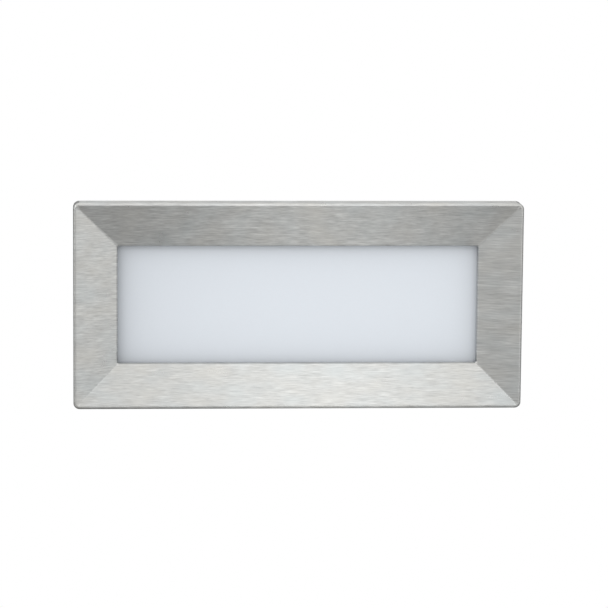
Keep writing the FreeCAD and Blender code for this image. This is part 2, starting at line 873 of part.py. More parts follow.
def board_connector():
    """Two-way poke-in connector on the board."""
    right = connector_left + connector_length
    front = board_front - connector_depth
    shell = block((connector_left, right), (front, board_front), (-connector_width / 2, connector_width / 2))
    entries = [
        cross_rod(led_lead_radius + thread_clearance, connector_left, connector_left + connector_entry,
                  led_lead_level, z)
        for z in led_lead_z()
    ]
    return without(shell, entries)


def light_liner():
    """White reflector: sides that lean in from the mouth to a floor with a hole for each LED."""
    mouth_y = pocket_floor + liner_setback
    mouth_x, mouth_z = chamber_x - fit_gap, chamber_z - fit_gap

    def funnel(inset):
        x, z = mouth_x - inset, mouth_z - inset
        foot = (x - liner_lean, z - liner_lean, liner_rear)
        return tapered((x, z, mouth_y), foot, liner_corner - inset)

    floor_space = slab(mouth_x, mouth_z, liner_corner, liner_floor, liner_rear)
    cup = funnel(0).cut(funnel(liner_sheet).cut(floor_space))
    through = (liner_floor - past, liner_rear + past)
    hole_x, hole_z = led_length / 2 + liner_hole_gap, led_height / 2 + liner_hole_gap
    holes = [slab(hole_x, hole_z, liner_hole_gap, *through, x, z) for x, z in led_places()]
    holes += [rod(x, z, m3_head_radius + liner_hole_gap, *through) for x, z in board_screw_places()]
    notch_left = lead_hole_x - grommet_waist
    notch_right = connector_left + connector_length + liner_hole_gap
    notch_z = connector_width / 2 + liner_hole_gap
    holes.append(block((notch_left, notch_right), through, (-notch_z, notch_z)))
    return without(cup, holes)


def lead_grommet():
    """Rubber bush where the LED leads pass the floor."""
    lip = grommet_waist + grommet_lip
    front, rear = floor_front - grommet_lip, floor_rear + grommet_lip
    return turned(
        [
            (grommet_bore, front), (lip, front), (lip, floor_front), (grommet_waist, floor_front),
            (grommet_waist, floor_rear), (lip, floor_rear), (lip, rear), (grommet_bore, rear),
        ],
        lead_hole_x, 0,
    )


def led_lead(side):
    """Lead from the driver's output end, through the floor, to the board's connector."""
    z = led_lead_z()[side]
    z_driver = row(2, led_lead_spread)[side]
    half_way = led_lead_reach / 2
    return lead(
        [
            (driver_left, led_out_level, z_driver),
            (driver_left - half_way, led_out_level, z_driver),
            (lead_hole_x, led_out_level - half_way, z),
            (lead_hole_x, led_lead_level, z),
            (connector_left + connector_entry, led_lead_level, z),
        ],
        led_lead_radius,
    )


# ---------------------------------------------------------------- driver

def driver_case():
    """Moulded tub that opens towards the rear cover, with a screw tab at each end."""
    half_x, half_z = driver_length / 2, driver_height / 2
    rim = driver_rear - driver_wall
    shell = slab(half_x, half_z, driver_corner, floor_rear, rim, driver_middle)
    hollow = slab(half_x - driver_wall, half_z - driver_wall, driver_corner / 2,
                  floor_rear + driver_wall, rim, driver_middle)
    tab_rear = tab_seat + tab_thickness
    tabs = []
    for (x, z), inner in zip(tab_screw_places(), (driver_left + past, driver_right - past)):
        tabs.append(block((inner, x), (tab_seat, tab_rear), (z - tab_radius, z + tab_radius)))
        tabs.append(rod(x, z, tab_radius, tab_seat, tab_rear))
    tab_holes = [rod(x, z, m3_radius + hole_clearance, tab_seat, tab_rear) for x, z in tab_screw_places()]
    outlets = [
        cross_rod(led_lead_radius + thread_clearance, driver_left - past, driver_left + 2 * driver_wall,
                  led_out_level, z)
        for z in row(2, led_lead_spread)
    ]
    inlets = [
        cross_rod(mains_lead_radius + thread_clearance, driver_right - 2 * driver_wall, driver_right + past,
                  mains_level, z)
        for z in row(2, mains_driver_pitch)
    ]
    return without(joined([shell.cut(hollow)] + tabs), tab_holes + outlets + inlets)


def driver_lid():
    """Lid with a tongue that snaps inside the tub's rim."""
    half_x, half_z = driver_length / 2, driver_height / 2
    rim = driver_rear - driver_wall
    inset = driver_wall + 2 * thread_clearance
    tongue_wall = driver_wall / 2
    tongue = ring(
        (half_x - inset, half_z - inset, driver_corner / 2),
        (half_x - inset - tongue_wall, half_z - inset - tongue_wall, driver_corner / 4),
        rim - driver_tongue, rim, driver_middle,
    )
    return joined([slab(half_x, half_z, driver_corner, rim, driver_rear, driver_middle), tongue])


def driver_board():
    """Circuit board on four moulded feet."""
    inset = driver_wall + driver_board_gap
    half_x, half_z = driver_length / 2 - inset, driver_height / 2 - inset
    board = slab(half_x, half_z, driver_corner / 2, driver_board_front, driver_board_rear, driver_middle)
    feet = [
        rod(driver_middle + x, z, driver_foot_radius, floor_rear + driver_wall, driver_board_front)
        for x, z in quadrants(driver_length / 2 - driver_foot_inset, driver_height / 2 - driver_foot_inset)
    ]
    return joined([board] + feet)


def core_block(half_x, half_z, over):
    top = driver_board_rear + core_depth
    return block((driver_middle - half_x, driver_middle + half_x), (driver_board_rear - over, top + over),
                 (-half_z, half_z))


def driver_transformer():
    """Ferrite core."""
    half = core_length / 2
    return core_block(half, half, 0).cut(core_block(half - core_leg, half - core_yoke, past))


def driver_winding():
    """Taped winding inside the core."""
    half_x = core_length / 2 - core_leg - winding_gap
    half_z = core_length / 2 - core_yoke - winding_gap
    top = driver_board_rear + core_depth - winding_gap
    return slab(half_x, half_z, half_x / 2, driver_board_rear, top, driver_middle)


def driver_capacitors():
    """Mains reservoir and two output cans, standing on the board."""
    reservoir_z = -(driver_height / 4)
    cans = [rod(driver_right - mains_side, reservoir_z, reservoir_radius,
                driver_board_rear, driver_board_rear + reservoir_depth)]
    for z in row(2, output_can_pitch):
        cans.append(rod(driver_left + output_side, z, output_can_radius,
                        driver_board_rear, driver_board_rear + output_can_depth))
    return group(cans)


def driver_choke():
    top = driver_board_rear + choke_depth
    x, z = driver_right - mains_side, driver_height / 4
    return washer(choke_bore, choke_radius, driver_board_rear, top, x, z)


def driver_screws():
    return group([
        pan_screw(m3_pan, tab_screw_length, x, z, tab_seat + tab_thickness, -1) for x, z in tab_screw_places()
    ])


# ---------------------------------------------------------------- terminals and mains leads

def terminal_z():
    return row(terminal_poles, terminal_pitch)


def terminal_screw_x():
    middle = (terminal_left + terminal_right) / 2
    return [middle + x for x in row(2, terminal_screw_pitch)]


def terminal_block():
    """Nylon strip with a tower for each pole."""
    tower = terminal_pitch / 2 - terminal_gap / 2
    half_z = terminal_poles * terminal_pitch / 2
    across = (terminal_left, terminal_right)
    base = block(across, (floor_rear, floor_rear + terminal_base), (-half_z, half_z))
    towers = [block(across, (floor_rear, terminal_rear), (z - tower, z + tower)) for z in terminal_z()]
    bores = []
    for z in terminal_z():
        bores.append(cross_rod(terminal_tube_radius + thread_clearance, terminal_left - past,
                               terminal_right + past, mains_level, z))
        bores += [rod(x, z, m25_radius + hole_clearance, mains_level, terminal_rear + past)
                  for x in terminal_screw_x()]
    return without(joined([base] + towers), bores)


def terminal_clamps():
    """Brass tubes, one for each pole."""
    left, right = terminal_left + terminal_tube_inset, terminal_right - terminal_tube_inset
    tubes = []
    for z in terminal_z():
        bore = cross_rod(mains_lead_radius + terminal_tube_gap, left - past, right + past, mains_level, z)
        wall_top = mains_level + terminal_tube_radius + past
        taps = [rod(x, z, m25_radius + thread_clearance, mains_level, wall_top) for x in terminal_screw_x()]
        tubes.append(without(cross_rod(terminal_tube_radius, left, right, mains_level, z), [bore] + taps))
    return group(tubes)


def terminal_screws():
    """Slotted clamping screws, two to a pole."""
    head = terminal_rear - terminal_screw_drop
    tip = mains_level + mains_lead_radius + thread_clearance
    slot = terminal_screw_slot / 2
    screws = []
    for z in terminal_z():
        for x in terminal_screw_x():
            across = (x - m25_head_radius, x + m25_head_radius)
            cut = block(across, (head - 2 * slot, head + past), (z - slot, z + slot))
            screws.append(rod(x, z, m25_radius, tip, head).cut(cut))
    return group(screws)


def mains_lead(pole, outlet):
    """Lead from a terminal to the driver."""
    z_block, z_driver = terminal_z()[pole], row(2, mains_driver_pitch)[outlet]
    return lead(
        [
            (terminal_left + terminal_screw_pitch / 2, mains_level, z_block),
            (terminal_left - lead_straight, mains_level, z_block),
            (driver_right + lead_straight, mains_level, z_driver),
            (driver_right - driver_wall, mains_level, z_driver),
        ],
        mains_lead_radius,
    )


def earth_lead():
    """Earth lead from the lowest pole to the tag on the floor."""
    z = terminal_z()[0]
    tag_end = earth_z + tag_radius
    return lead(
        [
            (terminal_left + terminal_screw_pitch / 2, mains_level, z),
            (terminal_left - earth_inset_x / 2, mains_level, z),
            (earth_x, earth_level, (z + tag_end) / 2),
            (earth_x, earth_level, tag_end),
        ],
        mains_lead_radius,
    )


def earth_tag():
    """Ring terminal under the earth screw."""
    rear = tab_seat + tag_thickness
    half = tag_tongue_width / 2
    tongue = block((earth_x - half, earth_x + half), (tab_seat, rear),
                   (earth_z, earth_z + tag_radius + tag_tongue_length))
    hole = rod(earth_x, earth_z, m3_radius + hole_clearance, tab_seat, rear)
    return joined([rod(earth_x, earth_z, tag_radius, tab_seat, rear), tongue]).cut(hole)


def earth_screw():
    length = tab_screw_length - tab_thickness + tag_thickness
    return pan_screw(m3_pan, length, earth_x, earth_z, tab_seat + tag_thickness, -1)


# ---------------------------------------------------------------- rear cover, vent and gland

def rear_cover():
    """Plate behind the wiring bay, stiffened by a raised rib that stops at the gland."""
    plate = slab(body_x, body_z, body_corner, cover_front, cover_rear)
    inner = cover_rib_inset + cover_rib_width
    rib_rear = cover_rear + cover_rib_height
    rib = ring(
        (body_x - cover_rib_inset, body_z - cover_rib_inset, body_corner),
        (body_x - inner, body_z - inner, body_corner / 2),
        cover_rear, rib_rear,
    )
    gland_room = gland_hex / 2 + cover_rib_stop
    beside_gland = (gland_x - gland_room, gland_x + gland_room)
    rib = rib.cut(block(beside_gland, (cover_rear, rib_rear), (-body_z, body_z)))
    holes = [rod(x, z, m3_radius + hole_clearance, cover_front, cover_rear) for x, z in cover_screw_places()]
    holes.append(rod(gland_x, 0, gland_thread_radius + thread_clearance, cover_front, cover_rear))
    holes.append(rod(vent_x, 0, vent_radius + thread_clearance, cover_front, cover_rear))
    return without(joined([plate, rib]), holes)


def rear_cover_seal():
    """Flat ring with an eye round each screw."""
    outer = (body_x, body_z, body_corner)
    inner = (chamber_x, chamber_z, chamber_corner)
    eyes = [rod(x, z, cover_boss_radius, bay_rear, cover_front) for x, z in cover_screw_places()]
    holes = [rod(x, z, m3_radius + hole_clearance, bay_rear, cover_front) for x, z in cover_screw_places()]
    return without(joined([ring(outer, inner, bay_rear, cover_front)] + eyes), holes)


def rear_cover_screws():
    return group([
        pan_screw(m3_pan, cover_screw_length, x, z, cover_rear, -1) for x, z in cover_screw_places()
    ])


def breather_vent():
    """Membrane vent: a snap-in stem under a slotted cap."""
    cap_radius = vent_radius + vent_cap_rim
    cap_rear = cover_rear + vent_cap_height
    body = turned(
        [
            (0, cover_front - vent_tail), (vent_radius, cover_front - vent_tail), (vent_radius, cover_rear),
            (cap_radius, cover_rear), (cap_radius, cap_rear - vent_slot), (cap_radius - vent_slot, cap_rear),
            (0, cap_rear),
        ],
        vent_x, 0,
    )
    stem_bore = rod(vent_x, 0, vent_radius - vent_wall, cover_front - vent_tail, cover_rear)
    slot_y = (cover_rear + vent_slot, cover_rear + 2 * vent_slot)
    slots = [
        block((vent_x - cap_radius, vent_x + cap_radius), slot_y, (-vent_slot, vent_slot)),
        block((vent_x - vent_slot, vent_x + vent_slot), slot_y, (-cap_radius, cap_radius)),
    ]
    core = rod(vent_x, 0, vent_radius, *slot_y)
    return without(body, [stem_bore]).cut(joined(slots).cut(core))


def gland_body():
    """Threaded body of the cable gland with its hexagon."""
    front = cover_front - locknut_thickness - locknut_thread_past
    barrel = turned(
        [
            (gland_bore_radius, front), (gland_thread_radius, front), (gland_thread_radius, gland_hex_front),
            (gland_barrel, gland_hex_front), (gland_barrel, gland_barrel_rear),
            (gland_bore_radius, gland_barrel_rear),
        ],
        gland_x, 0,
    )
    head = hexagon(gland_x, 0, gland_hex, gland_hex_front, gland_hex_rear)
    return joined([barrel, head.cut(rod(gland_x, 0, gland_bore_radius, gland_hex_front, gland_hex_rear))])


def gland_locknut():
    front = cover_front - locknut_thickness
    nut = hexagon(gland_x, 0, gland_hex, front, cover_front)
    return nut.cut(rod(gland_x, 0, gland_thread_radius + thread_clearance, front, cover_front))


def gland_washer():
    bore = gland_thread_radius + thread_clearance
    return washer(bore, gland_hex / 2, cover_rear, gland_hex_front, gland_x, 0)


def gland_nut():
    """Dome nut that squeezes the rubber onto the cable."""
    hex_rear = gland_nut_front + gland_nut_hex_length
    dome_length = gland_nut_rear - hex_rear
    dome = turned(
        [
            (0, hex_rear), (gland_hex / 2, hex_rear),
            (gland_hex / 2 - gland_dome_drop, hex_rear + dome_length / 2),
            (cable_radius + gland_nut_lip, gland_nut_rear), (0, gland_nut_rear),
        ],
        gland_x, 0,
    )
    thread = gland_barrel + thread_clearance
    mouth = cable_radius + gland_nut_lip / 2
    hollow = turned(
        [
            (0, gland_nut_front - past), (thread, gland_nut_front - past),
            (thread, gland_barrel_rear + gland_seal_lip + fit_gap), (mouth, gland_nut_rear),
            (mouth, gland_nut_rear + past), (0, gland_nut_rear + past),
        ],
        gland_x, 0,
    )
    return joined([hexagon(gland_x, 0, gland_hex, gland_nut_front, hex_rear), dome]).cut(hollow)


def gland_seal():
    """Rubber sleeve, pinched between the body and the nut."""
    rear = gland_barrel_rear + gland_seal_lip
    outer = gland_bore_radius - thread_clearance
    lip = gland_bore_radius + gland_seal_lip
    return turned(
        [
            (cable_radius, rear - gland_seal_length), (outer, rear - gland_seal_length),
            (outer, gland_barrel_rear), (lip, gland_barrel_rear), (lip, rear), (cable_radius, rear),
        ],
        gland_x, 0,
    )


# ---------------------------------------------------------------- recess box

def box_entries():
    """Cable entries as (place, direction outwards, height of the pad round it)."""
    return [
        (V(gland_x, box_depth, 0), V(0, 1, 0), 0),
        (V(-gland_x, box_depth, 0), V(0, 1, 0), 0),
        (V(box_out_x, entry_side_y, 0), V(1, 0, 0), entry_pad_height),
        (V(-box_out_x, entry_side_y, 0), V(-1, 0, 0), entry_pad_height),
    ]


def recess_box():
    """Moulded box: screw ears and guide ribs inside, mortar keys outside, entries and fixing holes."""
    outside = [slab(box_out_x, box_out_z, box_corner, 0, box_depth)]
    for y in (key_front_y, key_rear_y):
        outside.append(slab(box_out_x + key_height, box_out_z + key_height, box_corner + key_height,
                            y, y + key_thickness))
    for place, way, pad in box_entries():
        if pad:
            outside.append(Part.makeCylinder(entry_radius + entry_pad_rim, pad, place, way))
    hollow = slab(box_in_x, box_in_z, box_corner - box_wall, -past, box_floor)
    box = joined(outside).cut(hollow)

    into_wall_x = box_in_x + box_wall / 2
    inside = []
    for side in (-1, 1):
        end_wall = side * into_wall_x
        inside.append(rod(side * ear_x, 0, seat_boss_radius, 0, ear_length))
        inside.append(block((side * ear_x, end_wall), (0, ear_length), (-seat_boss_radius, seat_boss_radius)))
        for z in (guide_inset - box_in_z, box_in_z - guide_inset):
            inside.append(block(
                (side * (pocket_out_x + fit_gap), end_wall), (guide_setback, box_floor),
                (z - guide_thickness / 2, z + guide_thickness / 2),
            ))
    box = joined([box] + inside)

    through_wall = 2 * box_wall
    holes = [
        Part.makeCylinder(entry_radius, through_wall + pad + past, place - way * through_wall, way)
        for place, way, pad in box_entries()
    ]
    holes += [
        rod(x, z, fixing_radius, box_floor - past, box_depth + past) for x, z in quadrants(fixing_x, fixing_z)
    ]
    for x in (-ear_x, ear_x):
        holes.append(rod(x, 0, insert_radius, -past, insert_length))
        holes.append(rod(x, 0, m4_radius + screw_room, -past, ear_length - blind_end))
    drain_top = V(0, drain_y, past - box_in_z)
    holes.append(Part.makeCylinder(drain_radius, through_wall + key_height, drain_top, V(0, 0, -1)))
    return without(box, holes)


def threaded_inserts():
    """Brass inserts in the box's ears."""
    bore = m4_radius + thread_clearance
    return group([washer(bore, insert_radius, insert_drop, insert_length, x, 0) for x in (-ear_x, ear_x)])


def on_entry(points, entry):
    """Turned piece in a cable entry. Its points are (radius, distance outside the wall's outer face)."""
    place, way = entry[:2]
    piece = turned(points, 0, 0)
    piece.Placement = FreeCAD.Placement(place, FreeCAD.Rotation(V(0, 1, 0), way))
    return piece


def entry_grommet():
    """Rubber bush in the entry that the supply cable comes through."""
    bore = cable_radius + mains_lead_radius / 2
    lip = entry_radius + entry_lip
    inner = -box_wall - entry_catch
    return on_entry(
        [
            (bore, inner), (lip, inner), (lip, -box_wall), (entry_radius, -box_wall), (entry_radius, 0),
            (lip, 0), (lip - entry_bevel, entry_cap), (bore, entry_cap),
        ],
        box_entries()[0],
    )


def entry_plugs():
    """Snap-in plugs in the entries that aren't used: a cap on a short tube."""
    outer = entry_radius - plug_gap
    bore = outer - entry_catch
    inner = -box_wall - entry_catch
    plugs = []
    for entry in box_entries()[1:]:
        pad = entry[2]
        cap = entry_radius + entry_lip
        plugs.append(on_entry(
            [
                (0, pad), (bore, pad), (bore, inner), (outer, inner), (outer, pad), (cap, pad),
                (cap - entry_bevel, pad + entry_cap), (0, pad + entry_cap),
            ],
            entry,
        ))
    return group(plugs)


# ---------------------------------------------------------------- the pieces and their files

PIECES = {
    "fascia": fascia,
    "fascia_clips": fascia_clips,
    "diffuser": diffuser,
    "diffuser_seal": diffuser_seal,
    "diffuser_screws": diffuser_screws,
    "lamp_body": lamp_body,
    "wall_seal": wall_seal,
    "fixing_screw_left": lambda: captive_screw(-ear_x),
    "fixing_screw_right": lambda: captive_screw(ear_x),
    "retaining_washer_left": lambda: retaining_washer(-ear_x),
    "retaining_washer_right": lambda: retaining_washer(ear_x),
    "light_liner": light_liner,
    "led_board": led_board,
    "led_packages": led_packages,
    "led_phosphor": led_phosphor,
    "board_screws": board_screws,
    "board_connector": board_connector,
    "thermal_pad": thermal_pad,
    "lead_grommet": lead_grommet,
    "led_lead_red": lambda: led_lead(1),
    "led_lead_black": lambda: led_lead(0),
    "driver_case": driver_case,
    "driver_lid": driver_lid,
    "driver_board": driver_board,
    "driver_transformer": driver_transformer,
    "driver_winding": driver_winding,
    "driver_capacitors": driver_capacitors,
    "driver_choke": driver_choke,
    "driver_screws": driver_screws,
    "terminal_block": terminal_block,
    "terminal_clamps": terminal_clamps,
    "terminal_screws": terminal_screws,
    "live_lead": lambda: mains_lead(2, 1),
    "neutral_lead": lambda: mains_lead(1, 0),
    "earth_lead": earth_lead,
    "earth_tag": earth_tag,
    "earth_screw": earth_screw,
    "rear_cover": rear_cover,
    "rear_cover_seal": rear_cover_seal,
    "rear_cover_screws": rear_cover_screws,
    "breather_vent": breather_vent,
    "gland_body": gland_body,
    "gland_locknut": gland_locknut,
    "gland_washer": gland_washer,
    "gland_nut": gland_nut,
    "gland_seal": gland_seal,
    "recess_box": recess_box,
    "threaded_inserts": threaded_inserts,
    "entry_grommet": entry_grommet,
    "entry_plugs": entry_plugs,
}


def main():
    os.makedirs("parts", exist_ok=True)
    for name, make in PIECES.items():
        shape = make()
        sound = shape.isValid() and all(solid.Volume > 0 for solid in shape.Solids)
        count = len(shape.Solids)
        print(f"{name:24s} solids {count:3d}  volume {shape.Volume:10.1f} mm3  {'' if sound else 'INVALID'}")
        shape.exportStep(os.path.join("parts", name + ".step"))


main()
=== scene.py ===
"""Looks of a brick-format recessed step light: brushed steel fascia, opal pane, cast module, recess box.

Lengths are in metres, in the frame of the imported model: +X to the right as the light is seen,
+Z up, the light faces -Y and the wall's surface is the plane y = 0.
"""

import json
import math

import bmesh
import bpy
from mathutils import Matrix, Vector


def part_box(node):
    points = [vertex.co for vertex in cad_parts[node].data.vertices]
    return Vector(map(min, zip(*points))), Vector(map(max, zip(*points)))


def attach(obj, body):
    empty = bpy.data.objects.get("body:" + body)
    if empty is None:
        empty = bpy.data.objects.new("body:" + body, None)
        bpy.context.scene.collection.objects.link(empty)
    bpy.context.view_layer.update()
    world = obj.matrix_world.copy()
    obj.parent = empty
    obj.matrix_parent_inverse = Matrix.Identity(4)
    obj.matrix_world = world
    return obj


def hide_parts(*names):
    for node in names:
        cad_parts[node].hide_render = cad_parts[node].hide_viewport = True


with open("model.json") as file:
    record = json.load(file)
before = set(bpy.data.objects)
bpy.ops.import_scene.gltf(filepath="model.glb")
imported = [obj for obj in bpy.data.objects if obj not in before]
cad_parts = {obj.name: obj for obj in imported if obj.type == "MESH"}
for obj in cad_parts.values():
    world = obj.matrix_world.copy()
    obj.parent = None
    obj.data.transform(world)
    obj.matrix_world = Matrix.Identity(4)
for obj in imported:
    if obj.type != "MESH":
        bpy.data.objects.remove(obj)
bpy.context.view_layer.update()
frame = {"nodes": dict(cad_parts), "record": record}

bl_info = {
    "name": "Recessed Step Light",
    "version": (1, 0, 0),
    "blender": (4, 5, 0),
    "location": "View3D > Sidebar > Step Light",
    "description": "Dresses the packed step light: fascia, pane, module, recess box and a white studio",
    "category": "Object",
}

MM = 0.001
WHITE = (1.0, 1.0, 1.0, 1.0)
OPAL_EDGE_SHADE = (0.22, 6 * MM)        # painted shade: how much darker the pane is painted at the window's edge, and how soon it clears
OPAL_LEFT_SHADE = (0.16, 45 * MM)       # painted shade that comes slowly in from each end (left here, right below), fitted to the reference
OPAL_RIGHT_SHADE = (0.06, 45 * MM)
WINDOW = (92.3 * MM, 30.3 * MM)   # half width and half height

FASCIA_LOW, FASCIA_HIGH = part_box("fascia")


# ---------------------------------------------------------------- node helpers

class Tree:
    """Short way to write a node tree: values and links are given together, by socket name or place."""

    def __init__(self, tree):
        self.tree = tree

    def node(self, kind, inputs=None, **settings):
        made = self.tree.nodes.new(kind)
        for name, value in settings.items():
            setattr(made, name, value)
        for name, value in (inputs or {}).items():
            self.feed(made.inputs[name], value)
        return made

    def feed(self, socket, value):
        if isinstance(value, bpy.types.NodeSocket):
            self.tree.links.new(value, socket)
        elif isinstance(value, bpy.types.Node):
            self.tree.links.new(value.outputs[0], socket)
        else:
            socket.default_value = value

    def math(self, operation, *values, clamp=False):
        made = self.node("ShaderNodeMath", dict(enumerate(values)), operation=operation, use_clamp=clamp)
        return made.outputs[0]

    def vector(self, operation, *values):
        made = self.node("ShaderNodeVectorMath", dict(enumerate(values)), operation=operation)
        return made.outputs["Value" if operation in ("LENGTH", "DISTANCE", "DOT_PRODUCT") else "Vector"]

    def combine(self, x=0.0, y=0.0, z=0.0):
        return self.node("ShaderNodeCombineXYZ", {"X": x, "Y": y, "Z": z}).outputs[0]

    def split(self, vector):
        return self.node("ShaderNodeSeparateXYZ", {"Vector": vector}).outputs


class Finish(Tree):
    """A material: one Principled surface on Object coordinates, with mottle, streaks and fine bumps."""

    def __init__(self, name, color, roughness, metallic=0.0, **sockets):
        self.material = bpy.data.materials.new(name)
        self.material.use_nodes = True
        super().__init__(self.material.node_tree)
        self.tree.nodes.clear()
        self.surface = self.node("ShaderNodeBsdfPrincipled")
        self.node("ShaderNodeOutputMaterial", {"Surface": self.surface})
        self.place = self.node("ShaderNodeTexCoord").outputs["Object"]
        self.color = self.node("ShaderNodeRGB").outputs[0]
        self.color.default_value = (*color, 1.0)
        self.roughness = roughness
        self.height = None
        self.surface.inputs["Base Color"].default_value = (*color, 1.0)
        self.surface.inputs["Roughness"].default_value = roughness
        self.surface.inputs["Metallic"].default_value = metallic
        for name, value in sockets.items():
            self.surface.inputs[name.replace("_", " ")].default_value = value

    def stretched(self, length, across=None, wobble=0.0, wobble_size=0.02):
        """Object coordinates scaled to grains of that size: long along X, fine across it."""
        across = across or length
        place = self.place
        if wobble:
            drift = self.node(
                "ShaderNodeTexNoise", {"Vector": place, "Scale": 1 / wobble_size, "Detail": 1.0}
            ).outputs["Fac"]
            shift = self.math("MULTIPLY", self.math("SUBTRACT", drift, 0.5), wobble)
            place = self.vector("ADD", place, self.combine(0.0, 0.0, shift))
        return self.vector("MULTIPLY", place, (1 / length, 1 / across, 1 / across))

    def noise(self, vector, detail=2.0, roughness=0.5, scale=1.0):
        inputs = {"Vector": vector, "Scale": scale, "Detail": detail, "Roughness": roughness}
        return self.node("ShaderNodeTexNoise", inputs).outputs["Fac"]

    def spread(self, value, low, high, to_low=0.0, to_high=1.0):
        """Value mapped from low..high to to_low..to_high."""
        inputs = {"Value": value, "From Min": low, "From Max": high, "To Min": to_low, "To Max": to_high}
        return self.node("ShaderNodeMapRange", inputs).outputs[0]

    def tint(self, mask, color, strength=1.0):
        """Mixes a colour into the surface where the mask is 1."""
        factor = self.math("MULTIPLY", mask, strength, clamp=True)
        mix = self.node("ShaderNodeMix", data_type="RGBA")
        self.feed(mix.inputs[0], factor)
        self.feed(mix.inputs[6], self.color)
        self.feed(mix.inputs[7], (*color, 1.0))
        self.color = mix.outputs[2]

    def shade(self, factor):
        """Multiplies the colour by a factor that varies over the surface."""
        gain = self.combine(factor, factor, factor)
        self.color = self.vector("MULTIPLY", self.color, gain)

    def rough(self, value, low, high):
        """Roughness that varies with a 0..1 value."""
        self.feed(self.surface.inputs["Roughness"], self.spread(value, 0.3, 0.7, low, high))

    def bump(self, height, depth, strength=1.0):
        """Adds a bump whose full height is depth metres."""
        inputs = {"Height": height, "Distance": depth, "Strength": strength}
        if self.height is not None:
            inputs["Normal"] = self.height
        self.height = self.node("ShaderNodeBump", inputs).outputs[0]

    def done(self):
        self.feed(self.surface.inputs["Base Color"], self.color)
        if self.height is not None:
            self.feed(self.surface.inputs["Normal"], self.height)
        return self.material


# ---------------------------------------------------------------- finishes

def brushed_steel(name, color, roughness):
    """Sheet brushed left to right: fine streaks, slow blotches of lighter, warmer and cooler metal.

    The grain is laid on the sheet as it was before it was pressed, so it follows every bend.
    """
    steel = Finish(name, color, roughness, 1.0, Anisotropic=0.95)
    x, y, z = steel.split(steel.place)
    side_on = steel.math("SUBTRACT", FASCIA_HIGH.x, steel.math("ABSOLUTE", x))
    end_on = steel.math("SUBTRACT", FASCIA_HIGH.z, steel.math("ABSOLUTE", z))
    level = steel.math("LESS_THAN", end_on, side_on)
    upright = steel.math("SUBTRACT", 1.0, level)
    along = steel.math("ADD", x, steel.math("MULTIPLY", y, upright))
    across = steel.math("ADD", z, steel.math("MULTIPLY", y, level))
    steel.place = steel.combine(along, 0.0, across)
    fine = steel.noise(steel.stretched(6 * MM, 0.40 * MM, wobble=0.6 * MM), 2.0, 0.6)
    medium = steel.noise(steel.stretched(13 * MM, 1.2 * MM, wobble=0.9 * MM), 2.0, 0.55)
    scratch = steel.noise(steel.stretched(60 * MM, 0.8 * MM), 1.0, 0.4)
    blotch = steel.noise(steel.stretched(16 * MM, 9 * MM), 3.0, 0.6)
    hue = steel.noise(steel.vector("ADD", steel.stretched(24 * MM, 16 * MM), (7.0, 3.0, 5.0)), 2.0)
    steel.shade(steel.spread(fine, 0.25, 0.75, 0.76, 1.20))
    steel.shade(steel.spread(medium, 0.25, 0.75, 0.87, 1.11))
    steel.shade(steel.spread(scratch, 0.64, 0.76, 1.0, 1.16))
    steel.shade(steel.spread(blotch, 0.3, 0.7, 0.92, 1.07))
    steel.tint(steel.spread(hue, 0.50, 0.72), (0.63, 0.61, 0.56), 0.40)
    steel.tint(steel.spread(hue, 0.50, 0.28), (0.57, 0.62, 0.63), 0.40)
    steel.rough(blotch, roughness - 0.03, roughness + 0.03)
    steel.bump(fine, 0.010 * MM, 0.5)
    steel.feed(steel.surface.inputs["Tangent"], steel.combine(0.0, 0.0, 1.0))
    return steel.done()


def opal(name, color):
    """Satin opal sheet. Its edges and left end are darkened by painted shade, fitted to the reference's
    shade.
    """
    pane = Finish(name, color, 0.42, IOR=1.49)
    x, y, z = pane.split(pane.place)
    half_width, half_height = WINDOW
    # painted shade: darker near the window's edges and towards each end, most at the left
    painted_shade_depths = (
        (pane.math("SUBTRACT", half_width, pane.math("ABSOLUTE", x)), OPAL_EDGE_SHADE),
        (pane.math("SUBTRACT", half_height, pane.math("ABSOLUTE", z)), OPAL_EDGE_SHADE),
        (pane.math("ADD", x, half_width), OPAL_LEFT_SHADE),
        (pane.math("SUBTRACT", half_width, x), OPAL_RIGHT_SHADE),
    )
    for depth, (strength, reach) in painted_shade_depths:
        fall = pane.math("EXPONENT", pane.math("DIVIDE", pane.math("MAXIMUM", depth, 0.0), -reach))
        pane.shade(pane.math("SUBTRACT", 1.0, pane.math("MULTIPLY", fall, strength)))
    grain = pane.noise(pane.stretched(0.9 * MM), 2.0)
    pane.shade(pane.spread(grain, 0.3, 0.7, 0.994, 1.004))
    pane.bump(grain, 0.004 * MM, 0.3)
    return pane.done()


def moulded(name, color, roughness=0.5, grain=0.55 * MM, depth=0.02 * MM, **sockets):
    """Moulded plastic: fine spark-eroded grain, slight flow marks and rubbed patches."""
    plastic = Finish(name, color, roughness, **sockets)
    texture = plastic.noise(plastic.stretched(grain), 3.0, 0.6)
    flow = plastic.noise(plastic.stretched(34 * MM, 19 * MM), 3.0, 0.6)
    plastic.shade(plastic.spread(flow, 0.3, 0.7, 0.90, 1.08))
    plastic.shade(plastic.spread(texture, 0.3, 0.7, 0.96, 1.04))
    plastic.rough(flow, roughness - 0.06, roughness + 0.06)
    plastic.bump(texture, depth, 0.6)
    return plastic.done()


def cast_metal(name, color, roughness=0.48):
    """Die-cast body with a thin powder coat: orange-peel surface and a few dull patches."""
    coat = Finish(name, color, roughness, 0.35)
    peel = coat.noise(coat.stretched(0.8 * MM), 3.0, 0.55)
    cloud = coat.noise(coat.stretched(20 * MM, 14 * MM), 4.0, 0.6)
    coat.shade(coat.spread(cloud, 0.3, 0.7, 0.88, 1.1))
    coat.shade(coat.spread(peel, 0.3, 0.7, 0.94, 1.05))
    coat.rough(cloud, roughness - 0.08, roughness + 0.08)
    coat.bump(peel, 0.03 * MM, 0.7)
    return coat.done()


